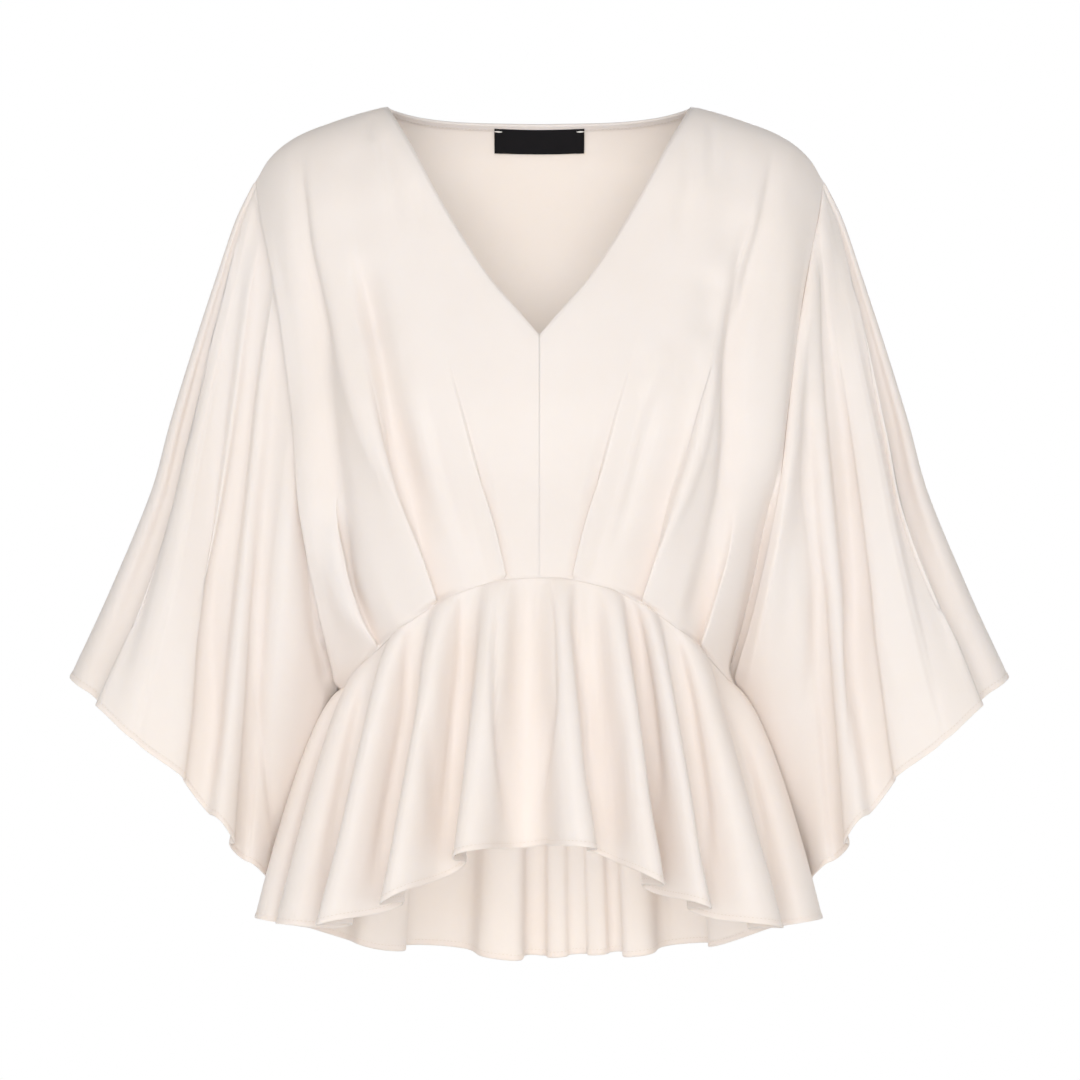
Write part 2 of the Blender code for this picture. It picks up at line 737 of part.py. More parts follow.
def garment():
    """The middle surfaces and the normals of all panels. Panels that are sewn together share both at the seam."""
    rows = bodice_rows()
    front_across, back_across = bodice_columns("front"), bodice_columns("back")
    places, under = sleeve_places()
    sleeve_down = np.linspace(0.0, 1.0, SLEEVE_ROWS + 1) ** SLEEVE_BUNCHING
    angles, right_side, left_side = peplum_angles()
    back = bodice_point(back_across[None, :], rows[:, None], "back")
    peplum = peplum_grid(angles, np.linspace(0.0, 1.0, PEPLUM_ROWS + 1))
    back_normals = outward(back, grid_frame(back, False)[1], BODY_MIDDLE)
    peplum_normals = outward(peplum, grid_frame(peplum, True)[1], PEPLUM_MIDDLE)
    back_normals[:, 0] = unit(back_normals[:, 0] * [0.0, 1.0, 1.0])
    panels = {"front_across": front_across, "back_across": back_across}
    for side, tuck in ARMHOLE_TUCKS.items():
        front = bodice_point(front_across[None, :], rows[:, None], "front")
        sleeve = sleeve_grid(places, sleeve_down, tuck)
        front_normals = outward(front, grid_frame(front, False)[1], BODY_MIDDLE)
        front_normals[:, 0] = unit(front_normals[:, 0] * [0.0, 1.0, 1.0])
        normals = outward(sleeve, grid_frame(sleeve, True)[1], SLEEVE_MIDDLE)
        neck = unit(front_normals[0, NECK_COLUMNS] + back_normals[0, BACK_CENTRE_COLUMNS - 1])
        shoulder = unit(front_normals[0, -1] + back_normals[0, -1] + normals[0, 0])
        hip = unit(front_normals[-1, -1] + back_normals[-1, -1] + peplum_normals[0, left_side])
        seam = guide_place["front"](front_across[NECK_COLUMNS:])
        share_normals(
            front_normals[0, NECK_COLUMNS:], seam, back_normals[0, BACK_CENTRE_COLUMNS - 1:], seam, (neck, shoulder)
        )
        own = normals[0].copy()
        reach = sleeve_fan(np.where(places <= 1.0, places, 2.0 - places))
        share_normals(front_normals[:, -1], rows, normals[0, :under + 1], reach[:under + 1], (shoulder, hip))
        share_normals(back_normals[:, -1], rows, normals[0, under:][::-1], reach[under:][::-1], (shoulder, hip))
        underarm = ease(reach, UNDERARM_FROM, 1.0)[:, None]
        normals[0] = unit(own * underarm + normals[0] * (1 - underarm))
        sleeve[0] += unit(sleeve[1] - sleeve[0]) * underarm * UNDERARM_CLEARANCE
        panels[f"front_{side}"] = (front, front_normals)
        panels[f"sleeve_{side}"] = (sleeve, normals)
    return panels, back, back_normals, peplum, peplum_normals, angles, right_side, left_side


def join_waist(panels, back, back_normals, peplum_normals, angles):
    """Gives the bodice and the peplum the same normals along the waist seam."""
    front_across, back_across = panels["front_across"], panels["back_across"]
    left, right = panels["front_left"][1], mirrored(panels["front_right"][1])
    knots = np.concatenate([
        -guide_angle["front"](front_across)[::-1],
        guide_angle["front"](front_across)[1:],
        180.0 - guide_angle["back"](back_across)[::-1][1:],
        180.0 + guide_angle["back"](back_across)[1:],
    ])
    bodice = np.concatenate([
        right[-1][::-1],
        left[-1][1:],
        back_normals[-1][::-1][1:],
        mirrored(back_normals[-1])[1:],
    ])
    turned = (angles + 90.0) % 360.0 - 90.0
    order = np.argsort(turned)
    ring = np.stack([np.interp(knots, turned[order], peplum_normals[0][order][:, k], period=360.0)
                     for k in range(3)], axis=-1)
    common = unit(bodice + ring)
    peplum_normals[0] = unit(np.stack([np.interp(turned, knots, common[:, k]) for k in range(3)], axis=-1))
    count, half = len(front_across), len(back_across)
    right[-1], left[-1] = common[:count][::-1], common[count - 1:2 * count - 1]
    panels["front_right"] = (panels["front_right"][0], mirrored(right))
    back_normals[-1] = common[2 * count - 2:2 * count - 2 + half][::-1]


def inner_tree(grids):
    """A search tree of the inner faces of panels, for what is laid inside them."""
    points, faces = [], []
    for grid in grids:
        start, columns = len(points), grid.shape[1]
        points += [Vector(p) for p in grid.reshape(-1, 3)]
        faces += [[start + i * columns + j for i, j in triangle] for triangle in grid_triangles(grid)]
    return BVHTree.FromPolygons(points, faces)


def laid_inside(points, tree):
    """Outer and inner points of a trim that lies against the inner faces of panels, clear of them."""
    outer, inner = np.empty_like(points), np.empty_like(points)
    for index in np.ndindex(points.shape[:2]):
        place, normal, _, _ = tree.find_nearest(Vector(points[index]))
        if normal.dot(Vector(BODY_MIDDLE) - place) < 0:
            normal = -normal
        outer[index] = place + normal * TRIM_GAP
        inner[index] = place + normal * (TRIM_GAP + TRIM_WALL)
    return outer, inner


def neck_binding(tree, front, front_normals, back, back_normals):
    """The band turned inside the neck edge, from the V point up the left side, round the back and down again."""
    def round_the_neck(of_front, of_back):
        half = np.concatenate([of_front[0, :NECK_COLUMNS], of_back[0, BACK_CENTRE_COLUMNS - 1::-1]])
        return np.concatenate([half, mirrored(half[:-1])[::-1]])

    ring = round_the_neck(front, back)
    normals = round_the_neck(front_normals, back_normals)
    tangent = unit(np.gradient(np.concatenate([ring[-2:-1], ring, ring[1:2]]), axis=0))[1:-1]
    inward = unit(np.cross(tangent, normals))
    inward *= -np.sign(inward[len(ring) // 2, 2])
    v_half_angle = math.atan2(FRONT_NECK[1][0], FRONT_NECK[1][1] - FRONT_NECK[0][1])
    inward[0] = inward[-1] = [0.0, 0.0, -1 / math.sin(v_half_angle)]
    widths = (TRIM_GAP, NECK_BINDING_WIDTH / 2, NECK_BINDING_WIDTH)
    return laid_inside(np.stack([ring + inward * width for width in widths]), tree)


def neck_label(tree):
    """The woven label inside the centre back, just under the band."""
    x = np.linspace(-LABEL_WIDTH / 2, LABEL_WIDTH / 2, LABEL_COLUMNS + 1)
    z = LABEL_TOP - np.linspace(0.0, LABEL_DROP, LABEL_ROWS + 1)
    x, z = np.meshgrid(x, z)
    return laid_inside(np.stack([x, form_y(x, z, "back"), z], axis=-1), tree)


def main():
    for old in list(bpy.data.objects):
        bpy.data.objects.remove(old)
    panels, half_back, half_normals, peplum, peplum_normals, angles, right_side, left_side = garment()
    join_waist(panels, half_back, half_normals, peplum_normals, angles)
    all_edges = ("top", "bottom", "first", "last")
    insides = []
    for side, turn in (("left", np.copy), ("right", mirrored)):
        points, normals = panels[f"front_{side}"]
        insides.append(place_panel(f"front_{side}", turn(points), turn(normals), all_edges))
        points, normals = panels[f"sleeve_{side}"]
        place_panel(f"sleeve_{side}", turn(points), turn(normals), ("top",), closed=True)
    back = np.concatenate([mirrored(half_back)[:, ::-1], half_back[:, 1:]], axis=1)
    normals = np.concatenate([mirrored(half_normals)[:, ::-1], half_normals[:, 1:]], axis=1)
    insides.append(place_panel("back", back, normals, all_edges))
    pick = {
        "front": list(range(right_side, left_side + 1)),
        "back": list(range(left_side, len(angles) - 1)) + list(range(right_side + 1)),
    }
    for face, columns in pick.items():
        place_panel(f"peplum_{face}", peplum[:, columns], peplum_normals[:, columns], ("top", "first", "last"))
    tree = inner_tree(insides)
    place_part("neck_binding", *neck_binding(tree, *panels["front_left"], half_back, half_normals), closed=True)
    place_part("neck_label", *neck_label(tree), colour=BLACK, roughness=BLACK_ROUGHNESS)


main()
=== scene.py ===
"""Looks of the blouse: fine cloth panels with folds, hems, seams and stitches, the label, floor and light.

Sizes are in millimetres until a mesh is made. X runs to the wearer's left, Y to the back and Z up. Left and
right are the wearer's. A panel for the right side is made on the left and mirrored.
"""
import math

import bpy
import numpy as np
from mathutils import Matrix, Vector


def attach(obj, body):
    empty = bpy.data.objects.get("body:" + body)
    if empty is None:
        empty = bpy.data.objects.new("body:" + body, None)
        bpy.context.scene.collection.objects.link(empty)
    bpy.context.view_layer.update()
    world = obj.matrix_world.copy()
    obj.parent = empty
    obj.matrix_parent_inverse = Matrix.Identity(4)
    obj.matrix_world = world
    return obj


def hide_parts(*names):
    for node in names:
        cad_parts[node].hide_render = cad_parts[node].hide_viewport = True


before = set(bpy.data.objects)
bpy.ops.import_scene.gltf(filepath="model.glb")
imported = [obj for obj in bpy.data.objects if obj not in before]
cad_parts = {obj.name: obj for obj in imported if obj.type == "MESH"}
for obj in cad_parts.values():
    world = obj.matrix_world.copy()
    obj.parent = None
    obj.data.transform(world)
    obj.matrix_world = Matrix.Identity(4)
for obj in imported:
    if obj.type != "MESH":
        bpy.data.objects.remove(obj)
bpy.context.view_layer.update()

# Driving sizes of the form
WAIST_HALF = 149.0
WAIST_SIDE_DROP = 440.0
WAIST_RISE = {"front": 88.0, "back": 18.0}
WAIST_ARCH_POWER = 2.2
SECTION_POWER = 2.4
SHOULDER_ROUNDING = {"front": 75.0, "back": 50.0}
HEM_HALF_WIDTH = 195.0
HEM_FRONT_DEPTH = 127.0
HEM_BACK_DEPTH = 124.0
PEPLUM_FLARE_POWER = 0.7
PEPLUM_FLUTE_POWER = 0.5
SLEEVE_FLUTE_POWER = 0.6
FLUTE_LEAN = 0.13
LEAN_DROP = 0.08
SHOULDER_SLOPE = 0.27
SLEEVE_GIRTH = 560.0
TUCK_WIDTH = 22.0
ARMHOLE_DRAWN_FROM = 0.6
BODY_MIDDLE = (0.0, 0.0, -250.0)
PEPLUM_MIDDLE = (0.0, 0.0, -500.0)
SLEEVE_MIDDLE = (270.0, 0.0, -330.0)

# Cloth, seams and hems
CLOTH_HALF = 0.35
HEM_HALF = 0.75
HEM_WIDTH = 4.6
STITCH_LINE = 4.0
# How far each sewn edge rolls in. Below 0 it stands out instead, as a fine welt.
SEAM_DEPTHS = {"top": 0.42, "bottom": -0.35, "waist": 0.12, "first": -0.12, "last": 0.45}
SEAM_WIDTH = 1.3
STITCH_STEP = 3.0
STITCH_LENGTH = 2.1
THREAD_RADIUS = 0.2
TRIM_HALF = 0.3
LABEL_WIDTH = 69.0
LABEL_DROP = 18.0
LABEL_TOP = -8.9
LABEL_SAG = 0.9
LABEL_LIFT = 2.1
TACK_RADIUS = 0.65
BAND = (
    # distance from the neck edge, depth below the middle of the cloth
    (-0.5, 0.0),
    (0.1, 0.75),
    (1.2, 1.0),
    (1.9, 0.8),
    (3.4, 1.05),
    (4.7, 1.0),
    (5.2, 0.75),
    (5.7, 1.0),
    (6.1, 0.85),
)

# Grids of the panels: their length and the step between rows, and their number of columns
BODICE_ROWS = (420.0, 3.4)
SLEEVE_ROWS = (380.0, 3.6)
PEPLUM_ROWS = (185.0, 2.8)
SLEEVE_COLUMNS = 112
PEPLUM_COLUMNS = 262
EDGE_STEPS = (0.5, 1.0, 1.6, 2.3, 3.2, 4.5, 6.2)
ARMHOLE_STEPS = (0.6, 1.2, 1.9, 2.7, 3.6, 4.6, 5.8, 7.4)
HEM_STEPS = (0.25, 0.7, 1.4, 2.4, 3.3, 3.7, 4.0, 4.3, 4.8, 5.8, 7.5)

# Colours, floor, lights and camera, in metres
CREAM_LIGHT = (0.875, 0.795, 0.742)
CREAM_DARK = (0.86, 0.773, 0.712)
THREAD_DEPTH = 0.0002
FLOOR_RADIUS = 4.0
FLOOR_LEVEL = -1.36
ROOM_LIGHT = 0.26
BANK_LIGHT = 0.25
BANK_POWER = 2.5
BANK_DIRECTION = (0.0, -0.66, 0.75)
LAMP_WHITE = (1.0, 0.99, 0.985)
BLOUSE_MIDDLE = (0.0, 0.0, -0.33)
CAMERA_DISTANCE = 3.0
PICTURE_WIDTH = 0.81

RIDGE = (
    # x, z of the shoulder seam
    (114.0, 0.0),
    (135.0, -5.5),
    (155.0, -12.0),
    (176.0, -20.0),
    (190.0, -28.0),
    (203.0, -40.0),
    (213.0, -56.0),
)
NECK_CROWN = (
    # x, z of the same ridge over the neck
    (0.0, 14.0),
    (60.0, 11.5),
    (92.0, 5.5),
)
FRONT_NECK = (
    # x, z
    (0.0, -176.4),
    (16.5, -157.0),
    (33.5, -137.4),
    (56.6, -103.0),
    (73.5, -74.0),
    (94.0, -35.0),
    (114.0, 0.0),
)
BACK_NECK = (
    # x, z
    (0.0, -7.0),
    (46.0, -6.5),
    (69.0, -5.6),
    (89.0, -4.0),
    (114.0, 0.0),
)
BODICE_FORM = (
    # z, front depth, back depth, half width
    (14.0, 60.0, 66.0, 226.0),
    (-56.0, 70.0, 80.0, 222.0),
    (-108.0, 82.0, 94.0, 216.5),
    (-150.0, 93.0, 99.0, 212.0),
    (-192.0, 103.0, 100.0, 207.5),
    (-232.0, 109.0, 97.0, 203.0),
    (-268.0, 107.0, 92.0, 198.0),
    (-305.0, 99.0, 87.0, 193.0),
    (-347.0, 91.0, 82.0, 186.0),
    (-388.0, 87.0, 79.0, 175.0),
    (-424.0, 85.0, 77.0, 163.0),
    (-440.0, 84.0, 76.0, 158.0),
)
FRONT_ARMHOLE = (
    # x, z, y
    (213.0, -56.0, 0.0),
    (210.0, -75.0, -13.0),
    (203.0, -107.0, -29.0),
    (194.0, -152.5, -42.0),
    (188.0, -194.0, -50.0),
    (183.0, -232.0, -54.0),
    (179.0, -268.0, -55.0),
    (174.0, -305.0, -52.0),
    (167.0, -346.7, -45.0),
    (159.0, -387.0, -32.0),
    (151.5, -424.0, -11.0),
    (149.0, -440.0, 0.0),
)
BACK_ARMHOLE = (
    # x, z, y
    (213.0, -56.0, 0.0),
    (209.0, -80.0, 16.0),
    (202.0, -118.0, 34.0),
    (196.0, -160.0, 44.0),
    (191.0, -205.0, 50.0),
    (186.0, -250.0, 52.0),
    (180.0, -300.0, 49.0),
    (172.0, -350.0, 41.0),
    (161.0, -395.0, 27.0),
    (151.5, -426.0, 10.0),
    (149.0, -440.0, 0.0),
)
GUIDES = {
    "front": (
        # across, waist angle in degrees, place along the top edge, bow, lean
        (0.00, 0.0, 0.0, 0.0, 0.0),
        (0.22, 9.8, 1.0, -2.0, 20.0),
        (0.50, 30.0, 1.45, 6.0, 4.0),
        (0.74, 52.0, 1.74, -2.0, 0.0),
        (1.00, 90.0, 2.0, 0.0, 0.0),
    ),
    "back": (
        # across, waist angle in degrees, place along the top edge, bow, lean
        (0.00, 0.0, 0.0, 0.0, 0.0),
        (0.30, 18.0, 1.0, 4.0, 20.0),
        (0.62, 42.0, 1.5, 8.0, 4.0),
        (1.00, 90.0, 2.0, 0.0, 0.0),
    ),
}
PLEATS = {
    "front": (
        # across, ridge height, valley depth, half gap at the waist and above, spread, start and end of fade
        (0.22, 2.0, 1.8, 0.006, 0.012, 0.07, 0.50, 0.76),
        (0.50, 6.5, 6.0, 0.010, 0.07, 0.12, 0.44, 0.78),
        (0.74, 5.5, 7.0, 0.012, 0.07, 0.10, 0.68, 0.92),
    ),
    "back": (
        # across, ridge height, valley depth, half gap at the waist and above, spread, start and end of fade
        (0.30, 2.5, 2.0, 0.014, 0.05, 0.12, 0.35, 0.85),
        (0.62, 4.0, 4.0, 0.014, 0.08, 0.14, 0.10, 0.80),
    ),
}
# How far the outer pleat bows out just above the waist seam
LATE_BOW = {"left": 6.0, "right": 17.0}
ARMHOLE_TUCKS = {"left": -5.0, "right": 6.0}
SLEEVE_BOW = (
    # share of the way down, line over the arm, line under the arm
    (0.00, 0.0, 0.0),
    (0.08, 2.5, 1.8),
    (0.18, 1.0, 2.0),
    (0.30, -1.0, 1.5),
    (0.48, -5.0, 0.5),
    (0.63, -10.0, 0.0),
    (0.82, -6.5, 0.0),
    (1.00, 0.0, 0.0),
)
SLEEVE_HEM = (
    # share from outer tip to underarm, x, front y, back y, z
    (0.00, 344.5, 0.0, 0.0, -431.0),
    (0.10, 333.0, -34.0, 34.0, -442.0),
    (0.20, 314.0, -48.0, 48.0, -457.0),
    (0.35, 289.0, -58.0, 60.0, -480.0),
    (0.50, 262.0, -58.0, 62.0, -500.0),
    (0.62, 243.0, -52.0, 60.0, -523.0),
    (0.74, 229.0, -40.0, 52.0, -547.0),
    (0.86, 216.0, -17.0, 40.0, -565.0),
    (1.00, 201.0, 12.0, 12.0, -584.0),
)
SLEEVE_FAN = (
    # share from outer tip to underarm, share of the armhole seam
    (0.00, 0.0),
    (0.20, 0.02),
    (0.58, 0.12),
    (0.86, 0.40),
    (1.00, 1.0),
)
SLEEVE_FLUTES = {
    "front": (
        # share, offset at the hem, how far the crest leans towards the underarm
        (0.00, 8.0, 0.0),
        (0.12, -9.0, 0.0),
        (0.21, 12.0, -9.0),
        (0.42, 6.0, 0.0),
        (0.59, -13.0, 0.0),
        (0.70, 6.0, 0.0),
        (0.81, -6.0, 0.0),
        (0.91, 3.0, 0.0),
        (1.00, 0.0, 0.0),
    ),
    "back": (
        # share, offset at the hem
        (0.00, 8.0),
        (0.15, -9.0),
        (0.30, 11.0),
        (0.47, -11.0),
        (0.64, 10.0),
        (0.80, -7.0),
        (0.92, 3.0),
        (1.00, 0.0),
    ),
}
PEPLUM_HEM = (
    # degrees from the centre front, z
    (0.0, -543.0),
    (13.0, -549.0),
    (21.0, -565.0),
    (33.0, -587.0),
    (47.0, -603.0),
    (60.0, -609.0),
    (85.0, -610.0),
    (110.0, -618.0),
    (140.0, -639.0),
    (180.0, -651.0),
)
PEPLUM_FLUTES = (
    # degrees from the centre front, offset at the hem, how far the crest leans to the wearer's left
    (-93.0, -16.0, 0.0),
    (-81.0, 19.0, -2.0),
    (-71.0, -15.0, 0.0),
    (-61.0, 18.0, -10.0),
    (-50.5, -18.0, 0.0),
    (-43.0, 22.0, -17.0),
    (-35.0, -20.0, 0.0),
    (-27.0, 22.0, -16.0),
    (-19.5, -20.0, 0.0),
    (-11.5, 20.0, -13.0),
    (-3.0, -25.0, 0.0),
    (5.5, 19.0, 12.0),
    (13.5, -19.0, 0.0),
    (20.5, 20.0, 14.0),
    (26.5, -26.0, 0.0),
    (31.5, 20.0, 12.0),
    (38.0, -18.0, 0.0),
    (47.0, 21.0, 19.0),
    (61.0, -16.0, 0.0),
    (77.0, 19.0, 4.0),
    (93.0, -16.0, 0.0),
    (108.0, 18.0, -8.0),
    (128.0, -17.0, 0.0),
    (144.0, 17.0, 8.0),
    (157.5, -20.0, 0.0),
    (162.0, 3.0, 0.0),
    (166.0, -6.0, 0.0),
    (171.5, 3.0, 0.0),
    (175.5, -5.0, 0.0),
    (181.0, 8.0, 0.0),
    (186.5, -17.0, 0.0),
    (203.0, 19.0, 0.0),
    (222.0, -16.0, 0.0),
    (236.0, 19.0, -9.0),
    (251.0, 9.0, 0.0),
    (267.0, -16.0, 0.0),
)

# Soft troughs and ridges laid on the panels: height, half width, crisp, x and z of points along it.
# crisp is the side with the steeper flank: 1 away from the centre, -1 towards it, 0 neither.
CREASES = {
    "front_right": (
        (-5.5, 9.0, -1, ((178, -36), (174, -80), (168, -125), (160, -165), (153, -200))),
        (-12.5, 14.0, 0,
         ((174, -110), (169, -150), (163, -196), (158, -240), (153, -284), (149, -325), (142, -360))),
        (-5.5, 7.0, 1, ((151, -310), (147, -338), (139, -365), (122, -396))),
        (2.5, 7.0, 0, ((160, -300), (155, -340), (144, -372), (128, -398))),
        (1.4, 9.0, 0, ((166, -92), (158, -130), (150, -170))),
        (-10.5, 12.5, 1, ((134, -112), (126, -155), (117, -196), (108, -240), (98, -284), (86, -326))),
        (-3.0, 14.0, 0, ((128, -118), (126, -150), (122, -180))),
        (4.2, 8.0, 0, ((158, -140), (146, -186), (132, -232), (116, -270), (100, -302))),
        (-2.0, 6.0, 0, ((84, -212), (76, -246), (66, -290), (54, -332))),
        (-0.9, 2.6, -1, ((129, -232), (118, -262), (106, -294), (96, -322))),
        (-3.0, 15.0, 0, ((140, -24), (138, -70), (132, -120))),
        (-1.5, 6.0, 0, ((115, -26), (109, -58), (103, -98))),
        (-0.8, 5.0, 0, ((92, -60), (86, -78), (79, -100))),
        (-1.2, 4.5, 0, ((125, -8), (126, -30))),
        (-0.7, 4.0, 1, ((99, -180), (96, -206))),
        (1.6, 8.0, 0, ((178, -200), (172, -260), (165, -320), (157, -370))),
        (-1.4, 6.0, 1, ((196, -90), (191, -150), (187, -200), (183, -240))),
        (1.2, 7.0, 0, ((160, -330), (150, -372), (142, -402))),
    ),
    "front_left": (
        (-4.6, 9.0, -1, ((174, -38), (166, -82), (155, -126), (148, -165))),
        (-11.5, 13.0, -1, ((150, -110), (143, -160), (139, -200), (139, -242), (135, -284), (128, -326))),
        (-5.0, 9.0, 0, ((134, -290), (127, -330), (118, -366), (110, -388))),
        (-3.2, 12.0, 0, ((128, -128), (124, -150), (123, -180))),
        (3.4, 8.0, 1, ((127, -182), (126, -206), (119, -252), (106, -292), (90, -330))),
        (-2.6, 7.0, -1, ((86, -214), (76, -249), (66, -290), (54, -330))),
        (1.8, 7.0, 0, ((96, -182), (86, -200), (76, -232))),
        (-0.8, 9.0, 0, ((118, -170), (110, -205), (98, -245))),
        (-1.3, 6.0, 0, ((112, -24), (109, -54), (106, -94))),
        (-1.1, 5.0, 0, ((128, -8), (128, -36), (126, -68))),
        (-0.8, 6.0, 0, ((103, -72), (102, -108))),
        (-1.2, 5.0, 1, ((158, -84), (149, -108), (141, -132))),
        (5.0, 11.0, 0, ((188, -84), (181, -140), (175, -200), (171, -250), (164, -310))),
        (-3.0, 14.0, 0, ((145, -26), (141, -74), (134, -120))),
        (1.0, 7.0, 0, ((155, -330), (147, -368), (140, -398))),
    ),
    "sleeve_right": (
        (-6.5, 15.0, -1,
         ((246, -150), (256, -205), (270, -262), (282, -315), (293, -360), (303, -400), (313, -440))),
        (-7.0, 14.0, -1,
         ((222, -110), (230, -180), (236, -250), (241, -316), (243, -382), (242, -430), (240, -486))),
        (-2.0, 8.0, 0, ((206, -250), (209, -316), (210, -380), (209, -430))),
        (-2.4, 6.0, 1, ((212, -430), (207, -470), (202, -510), (199, -545))),
        (2.2, 11.0, 0, ((196, -300), (197, -360), (196, -420), (194, -470))),
        (-1.4, 7.0, 0, ((232, -95), (240, -130), (248, -170))),
        (1.5, 9.0, 0, ((262, -330), (270, -380), (278, -430))),
        (-1.2, 5.0, 1, ((222, -80), (226, -110), (229, -140))),
    ),
    "sleeve_left": (
        (-6.4, 12.0, -1,
         ((218, -120), (222, -190), (226, -250), (230, -312), (233, -364), (231, -410), (231, -458),
          (230, -512))),
        (-6.4, 17.0, -1, ((232, -130), (250, -205), (262, -262), (273, -322), (286, -395), (298, -462))),
        (-3.6, 8.0, 1, ((262, -225), (274, -285), (287, -335), (300, -380), (308, -420))),
        (-1.6, 8.0, 0, ((196, -250), (189, -312), (182, -372))),
        (-2.0, 7.0, 0, ((210, -340), (206, -380), (200, -430), (197, -462))),
        (2.2, 10.0, 0, ((199, -290), (197, -340), (196, -400), (192, -440))),
        (-1.2, 5.0, 0, ((250, -400), (258, -440), (264, -470))),
        (-1.2, 5.0, 0, ((224, -84), (232, -118), (240, -150))),
    ),
    "back": (
        (-3.2, 14.0, -1, ((182, -60), (175, -120), (166, -180), (155, -240), (142, -300), (128, -360))),
        (2.0, 11.0, 0, ((165, -110), (154, -180), (140, -250), (122, -320))),
        (-2.0, 10.0, 1, ((120, -210), (108, -280), (96, -340), (88, -395))),
        (-1.4, 16.0, 0, ((120, -50), (112, -110), (100, -170))),
        (-1.2, 8.0, 0, ((60, -250), (54, -320), (50, -390))),
        (-1.2, 12.0, 0, ((20, -300), (17, -360), (16, -420))),
        (1.4, 9.0, 0, ((172, -230), (164, -300), (156, -360))),
        (-0.9, 5.0, 0, ((135, -12), (134, -30), (131, -52))),
    ),
    "peplum_front_left": (
        (-4.6, 5.5, 1, ((26, -356), (28, -385), (32, -420), (37, -470), (38, -520))),
        (-4.4, 5.5, 1, ((5, -352), (9, -385), (10, -430), (5, -480), (-1, -530))),
        (-1.8, 6.0, 0, ((60, -430), (56, -500), (57, -556))),
        (-6.0, 5.5, 1, ((69, -368), (74, -400), (80, -440), (85, -490), (88, -540))),
        (-4.8, 6.5, 1, ((98, -386), (108, -430), (116, -480), (122, -530), (124, -575))),
        (-2.6, 8.0, 1, ((126, -418), (145, -464), (158, -505), (170, -560))),
    ),
    "peplum_front_right": (
        (-4.6, 5.5, 1, ((32, -358), (32, -395), (31, -440), (27, -490), (22, -535))),
        (-4.8, 5.5, 1, ((57, -366), (57, -404), (61, -450), (66, -500), (69, -545))),
        (-1.8, 6.0, 0, ((86, -420), (80, -470), (74, -515), (70, -550))),
        (-4.8, 6.5, 1, ((96, -386), (97, -440), (105, -490), (115, -545), (121, -585))),
        (-2.6, 8.0, 1, ((128, -420), (137, -466), (148, -520), (160, -585))),
    ),
}

# Shares of the way down between which the pleats start to lap over
LAP_RANGE = (0.72, 0.93)
PLEAT_LAP = 4.2

# How the folded edge beside each front armhole lies: which panel laps over the other
ARMHOLE_FOLD = {
    # share where it starts, share where it is full, half width, lap, ridge, valley
    "left": (0.52, 0.74, 6.0, 8.0, 4.0, 13.0),
    "right": (0.42, 0.66, 5.0, 6.0, 3.0, 12.0),
}


def column(table, place):
    """One column of a table, as an array."""
    return np.array([row[place] for row in table], float)


def curve(places, values, level_start=False):
    """A smooth curve through table rows that never overshoots them."""
    places, values = np.asarray(places, float), np.asarray(values, float)
    step = np.diff(places)
    rise = np.diff(values) / step
    slope = np.zeros(len(places))
    for i in range(1, len(places) - 1):
        if rise[i - 1] * rise[i] > 0:
            before, after = step[i] * 2 + step[i - 1], step[i] + step[i - 1] * 2
            slope[i] = (before + after) / (before / rise[i - 1] + after / rise[i])
    slope[0], slope[-1] = 0.0 if level_start else rise[0], rise[-1]

    def at(place):
        place = np.clip(np.asarray(place, float), places[0], places[-1])
        i = np.clip(np.searchsorted(places, place, side="right") - 1, 0, len(step) - 1)
        t = (place - places[i]) / step[i]
        near = (1 + 2 * t) * (1 - t) ** 2 * values[i] + t * (1 - t) ** 2 * step[i] * slope[i]
        far = t * t * (3 - 2 * t) * values[i + 1] + t * t * (t - 1) * step[i] * slope[i + 1]
        return near + far

    return at


def table_curve(table, value, level_start=False):
    """A smooth curve of one column of a table over its first column."""
    order = slice(None) if table[0][0] < table[-1][0] else slice(None, None, -1)
    return curve(column(table, 0)[order], column(table, value)[order], level_start)


def ease(value, start, end):
    """0 before start, 1 after end and smooth between them."""
    t = np.clip((np.asarray(value, float) - start) / (end - start), 0.0, 1.0)
    return t * t * (3 - 2 * t)


def run_along(points, axis):
    """Length along a grid's rows (axis 1), down its columns (axis 0) or along a path (axis 0)."""
    steps = np.linalg.norm(np.diff(points, axis=axis), axis=-1)
    start = np.zeros_like(np.take(steps, [0], axis=axis))
    return np.concatenate([start, np.cumsum(steps, axis=axis)], axis=axis)


def sampled(values, run, places):
    """Points or vectors along a path at places of its length."""
    return np.stack([np.interp(places, run, values[:, k]) for k in range(3)], axis=-1)


def by_length(table, values=(0, 1), samples=400):
    """Columns of a table at a share of the length of the plane curve through its first two columns."""
    places = np.linspace(0.0, 1.0, len(table))
    fine = np.linspace(0.0, 1.0, samples)
    path = np.stack([curve(places, column(table, k))(fine) for k in range(len(table[0]))], axis=-1)
    run = run_along(path[:, :2], 0)
    run /= run[-1]
    return lambda share: np.stack([np.interp(share, run, path[:, k]) for k in values], axis=-1)


def unit(vectors):
    """Vectors of length 1."""
    return vectors / np.maximum(np.linalg.norm(vectors, axis=-1, keepdims=True), 1e-9)


def mirrored(values):
    """The same points or vectors on the other side of the body."""
    return values * np.array([-1.0, 1.0, 1.0])


def ridge_at(share):
    """x and z at a share of the shoulder seam's length."""
    x = ridge_run(share)[..., 0]
    return np.stack([x, ridge_height(x)], axis=-1)


